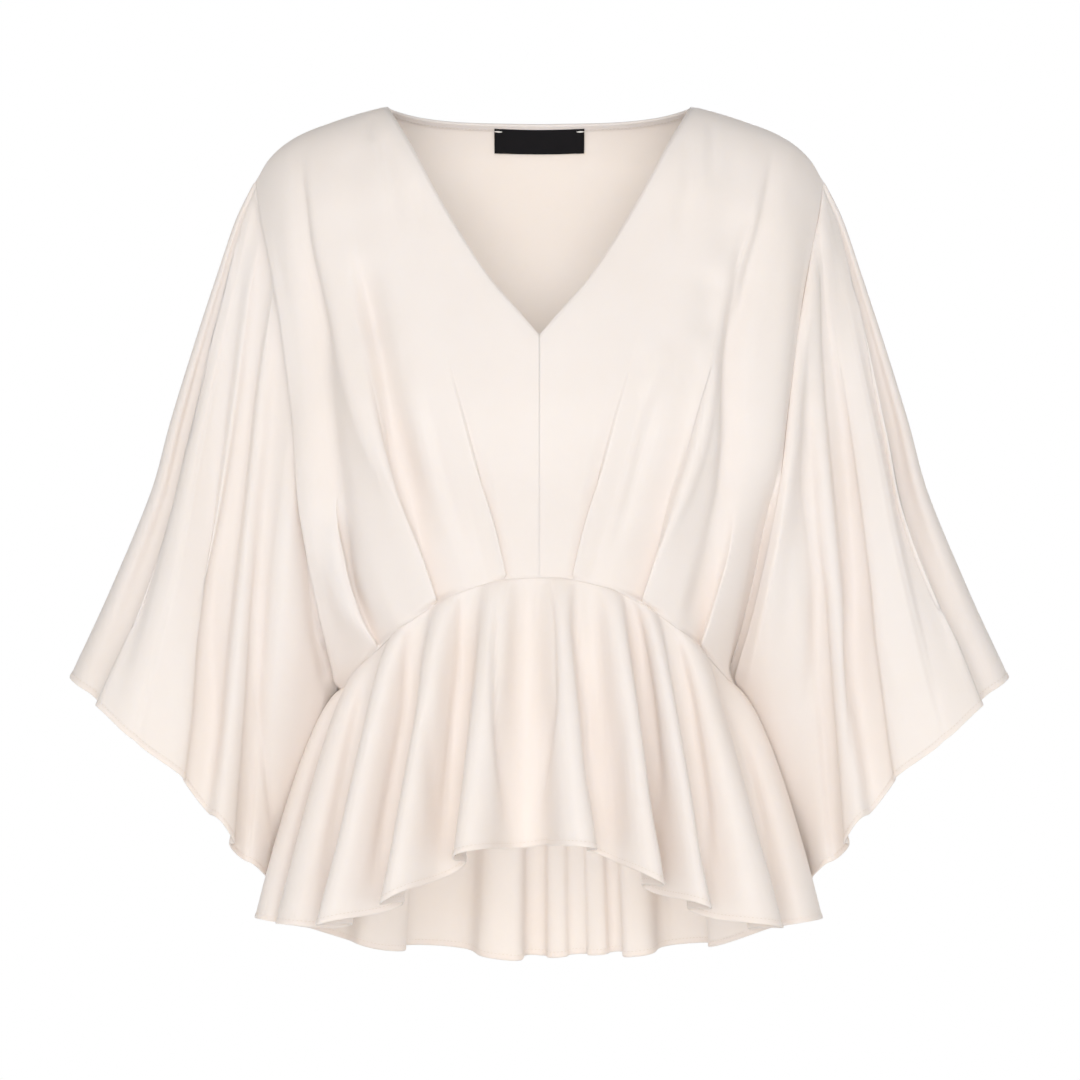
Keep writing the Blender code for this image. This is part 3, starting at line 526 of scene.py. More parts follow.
SIGN = {"front": -1.0, "back": 1.0}
ridge_height = table_curve(NECK_CROWN + RIDGE, 1)
ridge_run = by_length(RIDGE)
neck_at = {"front": by_length(FRONT_NECK), "back": by_length(BACK_NECK)}
armhole_at = {"front": by_length(FRONT_ARMHOLE), "back": by_length(BACK_ARMHOLE)}
armhole_y = {"front": by_length(FRONT_ARMHOLE, (2,)), "back": by_length(BACK_ARMHOLE, (2,))}
form_depth = {"front": table_curve(BODICE_FORM, 1), "back": table_curve(BODICE_FORM, 2)}
form_half = table_curve(BODICE_FORM, 3)
guide_angle = {face: table_curve(GUIDES[face], 1) for face in GUIDES}
guide_place = {face: table_curve(GUIDES[face], 2) for face in GUIDES}
sleeve_fan = table_curve(SLEEVE_FAN, 1)


def form_section(x, z, face):
    """Depth of the bodice at a place seen from the front, before it is rounded off over the shoulder."""
    reach = np.clip(np.abs(x) / form_half(z), 0.0, 1.0)
    return form_depth[face](z) * (1 - reach**SECTION_POWER) ** (1 / SECTION_POWER)


def form_y(x, z, face):
    """Depth of the plain bodice at a place seen from the front."""
    fall = np.clip((ridge_height(np.abs(x)) - z) / SHOULDER_ROUNDING[face], 0.0, 1.0)
    return SIGN[face] * form_section(x, z, face) * np.sqrt(1 - (1 - fall) ** 2)


def waist_seam(angle, face):
    """x and z of the waist seam at an angle round the body, 0 at the centre of a face and 90 at the side."""
    turn = np.radians(np.clip(angle, 0.0, 90.0))
    z = -WAIST_SIDE_DROP + WAIST_RISE[face] * (1 - np.sin(turn) ** WAIST_ARCH_POWER)
    return np.stack([WAIST_HALF * np.sin(turn), z], axis=-1)


def top_edge(place, face):
    """x and z of the neck edge (place 0 to 1) and then of the shoulder seam (place 1 to 2)."""
    neck = neck_at[face](np.clip(place, 0.0, 1.0))
    shoulder = ridge_at(np.clip(place - 1.0, 0.0, 1.0))
    return np.where(np.asarray(place)[..., None] <= 1.0, neck, shoulder)


def tuck_profile(distance, width):
    """A trough beside a seam: 0 at the seam, 1 at its deepest and dying away past it."""
    return distance / width * np.exp(1 - distance / width)


def pleat_gap(pleat, down):
    """Half the width of a pleat's step, as a share of the way across."""
    return pleat[3] + (pleat[4] - pleat[3]) * (1 - down) ** 1.1


def pleat_strength(pleat, down):
    """How open a pleat is: nothing above its start, and pressed flatter at the waist seam."""
    return ease(down, pleat[6], pleat[7]) * (1 - 0.2 * ease(down, 0.82, 1.0)) * ease(1 - down, 0.0, 0.012)


def pleat_relief(across, down, face):
    """How far the pleats lift the cloth off the plain bodice."""
    total = np.zeros(across.shape)
    for pleat in PLEATS[face]:
        place, ridge, valley, _, _, spread, _, _ = pleat
        gap = pleat_gap(pleat, down)
        away = across - place
        step = np.sin(np.clip(away / gap, -1.0, 1.0) * math.pi / 2)
        level = np.where(step > 0, ridge * step, valley * step)
        past = np.clip((np.abs(away) - gap) / spread, 0.0, 1.0)
        level = np.where(step > 0, level, level * (0.25 + 0.75 * ease(down, 0.5, 0.85)))
        total = total + pleat_strength(pleat, down) * level * (1 - past) ** 2 * (1 + 2 * past)
    return total


def guide_offset(across, down, face, late=0.0):
    """How far the lines down the bodice lie from straight ones, in x and z. The last is the armhole seam."""
    place = np.sin(np.radians(guide_angle[face](across)))
    knots = np.sin(np.radians(column(GUIDES[face], 1)))
    bow, lean = column(GUIDES[face], 3), column(GUIDES[face], 4)
    sideways = np.interp(place, knots, bow) * 4 * down * (1 - down)
    if late:
        outer = np.zeros(len(knots))
        outer[-2] = late
        sideways = sideways + np.interp(place, knots, outer) * 12.2 * down**4 * (1 - down)
    outward_lean = np.interp(place, knots, lean) * np.sqrt(tuck_profile(down, LEAN_DROP))
    ends = armhole_at[face](np.array([0.0, 1.0]))
    share = down[..., None]
    bulge = armhole_at[face](down) - ends[0] * (1 - share) - ends[1] * share
    offset = np.clip((place - knots[-2]) / (knots[-1] - knots[-2]), 0.0, 1.0)[..., None] * bulge
    offset[..., 0] += sideways + outward_lean
    offset[..., 1] -= outward_lean * SHOULDER_SLOPE
    return offset


def bodice_point(across, down, face, late=0.0):
    """A point of the left half bodice: across from the centre to the armhole seam, down from top to waist."""
    across, down = np.broadcast_arrays(np.asarray(across, float), np.asarray(down, float))
    top = top_edge(guide_place[face](across), face)
    waist = waist_seam(guide_angle[face](across), face)
    share = down[..., None]
    plane = top * (1 - share) + waist * share + guide_offset(across, down, face, late)
    sewn = ease(down, 0.0, 0.06) * ease(across, 0.0, 0.04) * ease(1 - across, 0.0, 0.1)
    relief = pleat_relief(across, down, face) * sewn
    y = form_y(plane[..., 0], plane[..., 1], face) + SIGN[face] * relief
    seam = armhole_at[face](down)
    drawn_in = armhole_y[face](down)[..., 0] - form_y(seam[..., 0], seam[..., 1], face)
    y = y + ease(across, ARMHOLE_DRAWN_FROM, 1.0) * drawn_in
    return np.stack([plane[..., 0], y, plane[..., 1]], axis=-1)


def flute_wave(place, flutes):
    """Offset of a fluted edge, the lean that makes its waves full, and how far each crest leans over."""
    places, offsets = column(flutes, 0), column(flutes, 1)
    leans = column(flutes, 2) if len(flutes[0]) > 2 else np.zeros(len(flutes))
    i = np.clip(np.searchsorted(places, place, side="right") - 1, 0, len(places) - 2)
    t = np.clip((place - places[i]) / (places[i + 1] - places[i]), 0.0, 1.0)
    turn = np.cos(math.pi * t)
    wave = (offsets[i] + offsets[i + 1]) / 2 + (offsets[i] - offsets[i + 1]) / 2 * turn
    full = np.sin(2 * math.pi * t) * (places[i + 1] - places[i]) * FLUTE_LEAN
    falls = offsets[i] > offsets[i + 1]
    crest = np.where(falls, leans[i], leans[i + 1]) * np.where(falls, 1 + turn, 1 - turn) / 2
    return wave, full, crest


def grid_frame(points, closed):
    """Unit vectors along a grid's rows and square to it. A closed grid repeats its first column."""
    grid = np.concatenate([points[:, -2:-1], points, points[:, 1:2]], axis=1) if closed else points
    across, down = np.gradient(grid, axis=1), np.gradient(grid, axis=0)
    across, normal = unit(across), unit(np.cross(across, down))
    return (across[:, 1:-1], normal[:, 1:-1]) if closed else (across, normal)


def outward(points, closed, middle):
    """Normals of a grid that point away from a middle point."""
    _, normals = grid_frame(points, closed)
    return normals * np.sign(((points - middle) * normals).sum())


def graded(length, step, first, last):
    """Shares along a length, at an even step, closer together over the distances given for its two ends."""
    first, last = np.asarray(first, float), np.asarray(last, float)
    start, stop = first[-1], length - last[-1]
    inner = np.linspace(start, stop, max(2, round((stop - start) / step)) + 1)[1:-1]
    return np.concatenate([[0.0], first, inner, length - last[::-1], [length]]) / length


def crease_relief(points, table, along_x=1.0):
    """How far the creases of a table lift the cloth, from their lines as seen from the front."""
    total = np.zeros(points.shape[:2])
    flat = np.stack([points[..., 0] * along_x, points[..., 2]], axis=-1)
    for height, width, crisp, line in table:
        knots = np.linspace(0.0, 1.0, len(line))
        fine = np.linspace(0.0, 1.0, 30)
        path = np.stack([curve(knots, [p[k] for p in line])(fine) for k in (0, 1)], axis=-1)
        low, high = path.min(axis=0) - 3 * width, path.max(axis=0) + 3 * width
        near = ((flat > low) & (flat < high)).all(axis=-1)
        if not near.any():
            continue
        spots = flat[near]
        away = spots[:, None, :] - path[None]
        nearest = np.argmin((away**2).sum(-1), axis=1)
        offset = away[np.arange(len(spots)), nearest]
        direction = unit(np.gradient(path, axis=0))[nearest]
        side = offset[:, 0] * -direction[:, 1] + offset[:, 1] * direction[:, 0]
        along = (offset * direction).sum(-1)
        share = fine[nearest] + along / run_length(path)
        reach = width * np.where(side * crisp > 0, 0.45, 1.0)
        fade = ease(share, -0.08, 0.3) * ease(1.0 - share, -0.08, 0.3)
        total[near] += height * np.exp(-((side / reach) ** 2)) * fade
    return total


def run_length(path):
    """The whole length of a path."""
    return np.linalg.norm(np.diff(path, axis=0), axis=1).sum()


def edge_roll(points, normals, edges):
    """Rolls the sewn edges of a grid in or out a little, so that each seam shows as a groove or a welt."""
    lengths = {"columns": run_along(points, 1), "rows": run_along(points, 0)}
    away = {
        "top": lengths["rows"],
        "bottom": lengths["rows"][-1:] - lengths["rows"],
        "waist": lengths["rows"],
        "first": lengths["columns"],
        "last": lengths["columns"][:, -1:] - lengths["columns"],
    }
    depth = np.zeros(points.shape[:2])
    for edge in edges:
        near = SEAM_DEPTHS[edge] * np.exp(-((away[edge] / SEAM_WIDTH) ** 2))
        depth = np.where(np.abs(near) > np.abs(depth), near, depth)
    return points - normals * depth[..., None]


def bodice_columns(face):
    """Places across the half bodice, close together at the pleats and at both edges."""
    places = list(np.arange(0.0, 1.0, 0.0125)) + [1.0]
    places += [0.0016, 0.0034, 0.006, 0.009]
    places += list(np.arange(0.0, 0.3, 0.004))
    places += [1 - step for step in (0.0016, 0.0034, 0.0055, 0.008, 0.011, 0.0145, 0.019, 0.024)]
    fine = (0.0, 0.0014, 0.0028, 0.0042, 0.0056, 0.0072, 0.009, 0.0112,
            0.0138, 0.0168, 0.0205, 0.025, 0.031)
    if face == "front":
        places += [pleat[0] + sign * step for pleat in PLEATS[face] for sign in (-1, 1) for step in fine]
    kept = []
    for place in sorted(places):
        if not kept or place - kept[-1] > 0.0011:
            kept.append(place)
    kept[-1] = 1.0
    return np.array(kept)


def fold_profile(distance, half_width, lap):
    """Sideways lap and lift of cloth near a folded edge, by distance from it."""
    turn = np.clip(distance / half_width, 0.0, 2.0)
    sideways = lap * np.sin(turn * math.pi / 2)
    fading = np.exp(-np.maximum(distance - half_width, 0.0) / 14.0)
    lift = np.sin(np.minimum(turn, 1.0) * math.pi / 2) * fading
    return sideways, lift


def bodice_panel(face, side):
    """The fine grid of half a bodice panel, with its pleats lapping over and its creases."""
    across = bodice_columns(face)
    down = graded(*BODICE_ROWS, EDGE_STEPS, EDGE_STEPS)
    late = LATE_BOW[side] if face == "front" else 0.0
    points = bodice_point(across[None, :], down[:, None], face, late)
    tangent, _ = grid_frame(points, False)
    normals = outward(points, False, BODY_MIDDLE)
    length = run_along(points, 1)
    shift = np.zeros(points.shape[:2])
    overlap = ease(down, *LAP_RANGE)[:, None]
    if face == "front":
        for pleat in PLEATS[face]:
            at = np.array([np.interp(pleat[0], across, row) for row in length])[:, None]
            per_share = np.gradient(length, across, axis=1)
            scale = np.array([np.interp(pleat[0], across, row) for row in per_share])[:, None]
            gap = pleat_gap(pleat, down[:, None]) * scale
            away = (length - at) / gap
            lap = PLEAT_LAP * pleat_strength(pleat, down[:, None]) * overlap
            shift -= lap * np.sin(np.clip(away, -2.0, 2.0) * math.pi / 2)
    points = points + tangent * shift[..., None]
    name = f"{face}_{side}" if face == "front" else "back"
    free = ease(length, 0.0, 6.0) * ease(length[:, -1:] - length, 0.0, 14.0)
    free = free * ease(run_along(points, 0), 0.0, 8.0) * ease(1 - down, 0.0, 0.03)[:, None]
    relief = crease_relief(points, CREASES[name]) * free
    points = points + normals * relief[..., None]
    if face == "front":
        start, full, half_width, lap, ridge, valley = ARMHOLE_FOLD[side]
        strength = (ease(down, start, full) * ease(1 - down, 0.0, 0.03))[:, None]
        sideways, lift = fold_profile(length[:, -1:] - length, half_width, lap)
        raised = normals * (lift * (ridge if side == "right" else -valley))[..., None]
        points = points + (tangent * sideways[..., None] + raised) * strength[..., None]
    points[:, 0, 0] = 0.0
    normals = outward(points, False, BODY_MIDDLE)
    normals[:, 0, 0] = 0.0
    return points, unit(normals)


def sleeve_places():
    """Places round the sleeve from over the arm by the front to under it and by the back up again."""
    half = np.linspace(0.0, 1.0, SLEEVE_COLUMNS)
    return np.concatenate([half, 2.0 - half[::-1][1:]])


def sleeve_panel(side):
    """The fine grid of the left sleeve as a tube, drawn to one side's folds."""
    places = sleeve_places()
    down = graded(*SLEEVE_ROWS, ARMHOLE_STEPS, HEM_STEPS)
    front = places <= 1.0
    share = np.where(front, places, 2.0 - places)
    start = np.where(
        front[:, None],
        bodice_point(np.ones_like(share), sleeve_fan(share), "front"),
        bodice_point(np.ones_like(share), sleeve_fan(share), "back"),
    )
    y = np.where(front, table_curve(SLEEVE_HEM, 2)(share), table_curve(SLEEVE_HEM, 3)(share))
    x = table_curve(SLEEVE_HEM, 1, level_start=True)(share)
    z = table_curve(SLEEVE_HEM, 4, level_start=True)(share)
    end = np.stack([x, y, z], axis=-1)
    points = start[None] * (1 - down[:, None, None]) + end[None] * down[:, None, None]
    over, under = table_curve(SLEEVE_BOW, 1)(down), table_curve(SLEEVE_BOW, 2)(down)
    points[..., 0] += over[:, None] * (1 - ease(share, 0.0, 0.6))[None, :]
    points[..., 0] += under[:, None] * ease(share, 0.8, 1.0)[None, :]
    wave_front, full_front, lean = flute_wave(share, SLEEVE_FLUTES["front"])
    wave_back, full_back, _ = flute_wave(share, SLEEVE_FLUTES["back"])
    wave = np.where(front, wave_front, wave_back)
    full = np.where(front, full_front, -full_back) * SLEEVE_GIRTH / 2 + np.where(front, lean, 0.0)
    across, normal = grid_frame(points, True)
    strength = (down**SLEEVE_FLUTE_POWER)[:, None, None]
    points = points + strength * (normal * wave[None, :, None] + across * full[None, :, None])
    _, normal = grid_frame(points, True)
    normal = normal * np.sign(((points - SLEEVE_MIDDLE) * normal).sum())
    distance = run_along(points, 0)
    front_share = (ease(share, 0.15, 0.5) * ease(1 - share, 0.0, 0.04) * front)[None, :]
    trough = tuck_profile(distance, TUCK_WIDTH) * front_share
    points = points - normal * (ARMHOLE_TUCKS[side] * trough)[..., None]
    left = ease(distance, 4.0, 22.0) * ease(distance[-1:] - distance, -12.0, 2.0)
    turned = ease(share, 0.0, 0.07)[None, :]
    creases = crease_relief(points, CREASES[f"sleeve_{side}"]) * left * turned
    facing = np.where(front, 1.0, 0.8)[None, :]
    points = points + normal * (creases * facing)[..., None]
    fold_start, fold_full, half_width, lap, ridge, valley = ARMHOLE_FOLD[side]
    reach = sleeve_fan(share)
    strength = (ease(reach, fold_start, fold_full) * ease(1 - reach, 0.0, 0.03) * front)[None, :]
    away = unit(points[3] - points[0])
    seam = unit(np.gradient(points[0], axis=0))
    away = unit(away - (away * seam).sum(-1, keepdims=True) * seam)[None]
    sideways, lift = fold_profile(distance, half_width, lap)
    raised = normal * (lift * (ridge if side == "left" else -valley))[..., None]
    points = points + (-away * sideways[..., None] + raised) * strength[..., None]
    _, normal = grid_frame(points, True)
    return points, normal * np.sign(((points - SLEEVE_MIDDLE) * normal).sum())


def waist_line(angles):
    """The waist seam in space at angles round the body."""
    turned = (angles + 180.0) % 360.0 - 180.0
    flat = np.abs(turned)
    fine = np.linspace(0.0, 1.0, 2001)
    found = []
    for face, angle in (("front", flat), ("back", 180.0 - flat)):
        across = np.interp(angle, guide_angle[face](fine), fine)
        found.append(bodice_point(across, np.ones_like(across), face))
    points = np.where((flat <= 90.0)[:, None], found[0], found[1])
    points[:, 0] *= np.where(turned < 0, -1.0, 1.0)
    return points


def peplum_panel(face):
    """The fine grid of the front or the back of the peplum, from side seam to side seam."""
    first, last = (-90.0, 90.0) if face == "front" else (90.0, 270.0)
    angles = np.concatenate([[first], np.linspace(first, last, PEPLUM_COLUMNS)[1:-1], [last]])
    wide = np.concatenate([[first - 0.7], angles, [last + 0.7]])
    down = graded(*PEPLUM_ROWS, EDGE_STEPS, HEM_STEPS)
    flat = np.abs((wide + 180.0) % 360.0 - 180.0)
    turn = np.radians(wide)
    depth = np.where(flat <= 90.0, HEM_FRONT_DEPTH, HEM_BACK_DEPTH)
    height = table_curve(PEPLUM_HEM, 1)(flat)
    hem = np.stack([HEM_HALF_WIDTH * np.sin(turn), -depth * np.cos(turn), height], axis=-1)
    waist = waist_line(wide)
    share = np.stack([down**PEPLUM_FLARE_POWER, down**PEPLUM_FLARE_POWER, down], axis=-1)[:, None, :]
    points = waist[None] + (hem - waist)[None] * share
    start = PEPLUM_FLUTES[0][0]
    wave, full, crest = flute_wave((wide - start) % 360.0 + start, PEPLUM_FLUTES)
    across, normal = grid_frame(points, False)
    normal = normal * np.sign(((points - PEPLUM_MIDDLE) * normal).sum())
    grown = down**PEPLUM_FLUTE_POWER
    leaned = (grown * down)[:, None] * crest[None, :]
    leaned = leaned + grown[:, None] * (np.radians(full) * HEM_HALF_WIDTH)[None, :]
    points = points + normal * (grown[:, None] * wave[None, :])[..., None] + across * leaned[..., None]
    normal = outward(points, False, PEPLUM_MIDDLE)
    distance = run_along(points, 0)
    free = ease(distance, 0.5, 5.0) * ease(distance[-1:] - distance, -8.0, 10.0)
    free = free * ease(90.0 - np.abs(np.abs(wide - (first + last) / 2)), 0.0, 6.0)[None, :]
    for side, sign in (("left", 1.0), ("right", -1.0)):
        ours = points[..., 0] * sign > -4.0
        relief = crease_relief(points, CREASES[f"peplum_front_{side}"], sign) * free * ours
        points = points + normal * relief[..., None]
    normal = outward(points, False, PEPLUM_MIDDLE)
    return points[:, 1:-1], normal[:, 1:-1]


def new_mesh(name, vertices, faces, uvs, material):
    """An object of quads. uvs holds one place for each corner of each face."""
    data = bpy.data.meshes.new(name)
    data.vertices.add(len(vertices))
    data.vertices.foreach_set("co", (np.asarray(vertices) * 0.001).astype(np.float32).ravel())
    data.loops.add(len(faces) * 4)
    data.loops.foreach_set("vertex_index", np.asarray(faces, np.int32).ravel())
    data.polygons.add(len(faces))
    data.polygons.foreach_set("loop_start", np.arange(0, len(faces) * 4, 4, dtype=np.int32))
    data.polygons.foreach_set("use_smooth", np.ones(len(faces), bool))
    data.update(calc_edges=True)
    layer = data.uv_layers.new(name="cloth")
    layer.data.foreach_set("uv", (np.asarray(uvs) * 0.001).astype(np.float32).ravel())
    data.validate()
    data.materials.append(material)
    shown = bpy.data.objects.new(name, data)
    bpy.context.scene.collection.objects.link(shown)
    return shown


def shell(name, middle, normals, half, closed, material):
    """A thin closed wall about a grid. half is half its thickness, at each point or everywhere."""
    rows, columns = middle.shape[:2]
    used = columns - 1 if closed else columns
    half = np.broadcast_to(half, (rows, columns))[..., None]
    outer, inner = middle + normals * half, middle - normals * half
    vertices = np.concatenate([outer[:, :used].reshape(-1, 3), inner[:, :used].reshape(-1, 3)])
    index = np.arange(rows * used).reshape(rows, used)
    if closed:
        index = np.concatenate([index, index[:, :1]], axis=1)
    flow = np.stack([run_along(middle, 1), run_along(middle, 0)], axis=-1)
    u = np.mean(flow[..., 0], axis=0)[None, :].repeat(rows, axis=0)
    places = np.stack([u, flow[..., 1]], axis=-1)

    def quads(grid):
        return np.stack([grid[:-1, :-1], grid[:-1, 1:], grid[1:, 1:], grid[1:, :-1]], axis=2).reshape(
            -1, 4, *grid.shape[2:])

    face, corner = quads(index), quads(places)
    a, b, d = (vertices[face[:, k]] for k in (0, 1, 3))
    facing = (np.cross(b - a, d - a) * quads(normals)[:, 0]).sum()
    if facing < 0:
        face, corner = face[:, ::-1], corner[:, ::-1]
    back = rows * used
    faces, uvs = [face, face[:, ::-1] + back], [corner, corner[:, ::-1]]
    rims = [(index[0], places[0]), (index[-1][::-1], places[-1][::-1])]
    if not closed:
        rims += [(index[:, -1], places[:, -1]), (index[::-1, 0], places[::-1, 0])]
    for line, spots in rims:
        rim = np.stack([line[1:], line[:-1], line[:-1] + back, line[1:] + back], axis=1)
        spot = np.stack([spots[1:], spots[:-1], spots[:-1], spots[1:]], axis=1)
        if facing < 0:
            rim, spot = rim[:, ::-1], spot[:, ::-1]
        faces.append(rim)
        uvs.append(spot)
    return new_mesh(name, vertices, np.concatenate(faces), np.concatenate(uvs), material)


def hem_half(distance):
    """Half the thickness by distance from a hem: a rounded edge, a double fold and dents under stitches."""
    double = ease(HEM_WIDTH - distance, -0.3, 0.5)
    folded = HEM_HALF * double + CLOTH_HALF * (1 - double)
    edge = 0.45 + 0.55 * ease(distance, 0.0, 0.7)
    dent = 0.28 * np.exp(-(((distance - STITCH_LINE) / 0.35) ** 2))
    return folded * edge - dent


def stitches(name, path, normals, sides, material):
    """A row of stitches along a path. sides are its offsets along the normals, one for each side sewn."""
    run = run_along(path, 0)
    starts = np.arange(STITCH_STEP / 2, run[-1] - STITCH_STEP, STITCH_STEP)
    rings = np.array([0.0, 0.18, 0.5, 0.82, 1.0])
    swell = np.array([0.25, 0.85, 1.0, 0.85, 0.25])
    sides_of_ring = 6
    turn = np.arange(sides_of_ring) * 2 * math.pi / sides_of_ring
    vertices, faces = [], []
    places = [starts + STITCH_LENGTH * ring for ring in rings]
    for side in sides:
        lift = abs(side)
        centre = [sampled(path, run, place) for place in places]
        normal = [unit(sampled(normals, run, place)) * np.sign(side) for place in places]
        along = unit(centre[-1] - centre[0])
        for k in range(len(starts)):
            base = len(vertices)
            for ring in range(len(rings)):
                binormal = np.cross(normal[ring][k], along[k])
                sunk = lift + THREAD_RADIUS * (0.6 - 1.3 * (1 - swell[ring]))
                spot = centre[ring][k] + normal[ring][k] * sunk
                for angle in turn:
                    arm = normal[ring][k] * math.cos(angle) + binormal * math.sin(angle)
                    vertices.append(spot + arm * THREAD_RADIUS * swell[ring])
            for ring in range(len(rings) - 1):
                for j in range(sides_of_ring):
                    m = (j + 1) % sides_of_ring
                    low, high = base + ring * sides_of_ring, base + (ring + 1) * sides_of_ring
                    faces.append((low + j, low + m, high + m, high + j))
    faces = np.array(faces)
    return new_mesh(name, np.array(vertices), faces, np.zeros((len(faces), 4, 2)), material)


def tube(name, path, radii, material, sides=10):
    """A round tube along a path with rounded ends."""
    path, radii = np.asarray(path, float), np.asarray(radii, float)
    tangent = unit(np.gradient(path, axis=0))
    side = unit(np.cross(tangent, [0.31, -0.9, 0.3]))
    other = np.cross(tangent, side)
    turn = np.arange(sides) * 2 * math.pi / sides
    rings = [path[i] + radii[i] * (np.cos(turn)[:, None] * side[i] + np.sin(turn)[:, None] * other[i])
             for i in range(len(path))]
    vertices = np.concatenate(rings)
    faces = []
    for i in range(len(path) - 1):
        for j in range(sides):
            m = (j + 1) % sides
            faces.append((i * sides + m, i * sides + j, (i + 1) * sides + j, (i + 1) * sides + m))
    return new_mesh(name, vertices, np.array(faces), np.zeros((len(faces), 4, 2)), material)


def shader_material(name, roughness, sheen, sheen_roughness, specular, sub=0.0):
    """A Principled material with its fixed values set on the shader itself."""
    material = bpy.data.materials.new(name)
    material.use_nodes = True
    nodes, links = material.node_tree.nodes, material.node_tree.links
    shader = nodes["Principled BSDF"]
    shader.inputs["Roughness"].default_value = roughness
    shader.inputs["Metallic"].default_value = 0.0
    shader.inputs["Specular IOR Level"].default_value = specular
    shader.inputs["Sheen Weight"].default_value = sheen
    shader.inputs["Sheen Roughness"].default_value = sheen_roughness
    shader.inputs["Sheen Tint"].default_value = (1.0, 0.97, 0.93, 1.0)
    if sub:
        shader.inputs["Subsurface Weight"].default_value = sub
        shader.inputs["Subsurface Radius"].default_value = (1.0, 0.9, 0.75)
        shader.inputs["Subsurface Scale"].default_value = 0.002
    return material, nodes, links, shader


def ramp_colours(nodes, links, source, colours, low, high, shader):
    """Colours a shader by a ramp between two colours over a range of a value."""
    ramp = nodes.new("ShaderNodeValToRGB")
    for element, position, colour in zip(ramp.color_ramp.elements, (low, high), colours):
        element.position = position
        element.color = (*colour, 1.0)
    links.new(source, ramp.inputs["Fac"])
    links.new(ramp.outputs["Color"], shader.inputs["Base Color"])


def noise(nodes, links, vector, scale, detail, rough):
    """A noise value over a vector."""
    texture = nodes.new("ShaderNodeTexNoise")
    texture.inputs["Scale"].default_value = scale
    texture.inputs["Detail"].default_value = detail
    texture.inputs["Roughness"].default_value = rough
    links.new(vector, texture.inputs["Vector"])
    return texture.outputs["Fac"]


def waves(nodes, links, vector, direction, scale, distortion, detail=2.0):
    """A value that rises and falls in bands across a vector."""
    texture = nodes.new("ShaderNodeTexWave")
    texture.wave_type = "BANDS"
    texture.bands_direction = direction
    texture.inputs["Scale"].default_value = scale
    texture.inputs["Distortion"].default_value = distortion
    texture.inputs["Detail"].default_value = detail
    links.new(vector, texture.inputs["Vector"])
    return texture.outputs["Fac"]


def raise_threads(nodes, links, pattern, strength, shader):
    """Raises the surface of a shader by a pattern of threads."""
    bump = nodes.new("ShaderNodeBump")
    bump.inputs["Strength"].default_value = strength
    bump.inputs["Distance"].default_value = THREAD_DEPTH
    links.new(pattern, bump.inputs["Height"])
    links.new(bump.outputs["Normal"], shader.inputs["Normal"])


def crepe_material(name):
    """Satin crepe: a pebbled fine weave, a soft sheen and a barely uneven dye."""
    material, nodes, links, shader = shader_material(name, 0.5, 0.1, 0.5, 0.26, 0.4)
    place = nodes.new("ShaderNodeTexCoord")
    cloth, solid = place.outputs["UV"], place.outputs["Object"]
    cloudy = noise(nodes, links, solid, 9.0, 3.0, 0.55)
    ramp_colours(nodes, links, cloudy, (CREAM_DARK, CREAM_LIGHT), 0.3, 0.62, shader)
    stretch = nodes.new("ShaderNodeMapping")
    stretch.inputs["Scale"].default_value = (1.0, 0.45, 1.0)
    links.new(cloth, stretch.inputs["Vector"])
    pebble = noise(nodes, links, stretch.outputs["Vector"], 1500.0, 2.0, 0.6)
    weave = waves(nodes, links, cloth, "DIAGONAL", 620.0, 2.0, 1.0)
    both = nodes.new("ShaderNodeMath")
    both.operation = "MULTIPLY_ADD"
    both.inputs[1].default_value = 0.35
    links.new(weave, both.inputs[0])
    links.new(pebble, both.inputs[2])
    raise_threads(nodes, links, both.outputs["Value"], 0.22, shader)
    uneven = nodes.new("ShaderNodeMapRange")
    uneven.inputs["To Min"].default_value = 0.45
    uneven.inputs["To Max"].default_value = 0.56
    links.new(noise(nodes, links, solid, 60.0, 2.0, 0.5), uneven.inputs["Value"])
    links.new(uneven.outputs["Result"], shader.inputs["Roughness"])
    return material


def label_material(name):
    """Black damask tape: fine ribs across it and hardly any shine."""
    material, nodes, links, shader = shader_material(name, 0.6, 0.0, 0.4, 0.12)
    tape = nodes.new("ShaderNodeTexCoord").outputs["UV"]
    speck = noise(nodes, links, tape, 2600.0, 2.0, 0.6)
    blacks = ((0.003, 0.003, 0.004), (0.008, 0.007, 0.009))
    ramp_colours(nodes, links, speck, blacks, 0.35, 0.7, shader)
    raise_threads(nodes, links, waves(nodes, links, tape, "Y", 900.0, 0.6), 0.35, shader)
    return material


def speckled_material(name, roughness, sheen, specular, scale, detail, colours):
    """A matt material with a fine uneven colour, for thread and for the floor."""
    material, nodes, links, shader = shader_material(name, roughness, sheen, 0.4, specular)
    solid = nodes.new("ShaderNodeTexCoord").outputs["Object"]
    speck = noise(nodes, links, solid, scale, detail, 0.5)
    ramp_colours(nodes, links, speck, colours, 0.3, 0.7, shader)
    return material


def thread_material(name, *colours):
    """Twisted sewing thread."""
    return speckled_material(name, 0.5, 0.1, 0.3, 2200.0, 1.0, colours)


crepe = crepe_material("cream_crepe")
thread = thread_material("cream_thread", (0.72, 0.62, 0.52), (0.84, 0.75, 0.66))
white_thread = thread_material("white_thread", (0.78, 0.75, 0.7), (0.9, 0.88, 0.84))
black_tape = label_material("label_cloth")


def dress(piece, slot_name, *nodes):
    """Puts a piece on the blouse's body, in place of its nodes."""
    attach(piece, "root")
    if nodes:
        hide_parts(*nodes)
    return piece


def hem_stitches(name, points, normals):
    """The line of stitches along the lower edge of a panel, on both of its sides."""
    distance = run_along(points, 0)
    distance = distance[-1:] - distance
    row = int(np.argmin(np.abs(distance.mean(axis=1) - STITCH_LINE)))
    piece = stitches(name, points[row], normals[row], (CLOTH_HALF, -CLOTH_HALF), thread)
    return dress(piece, "cream_crepe")


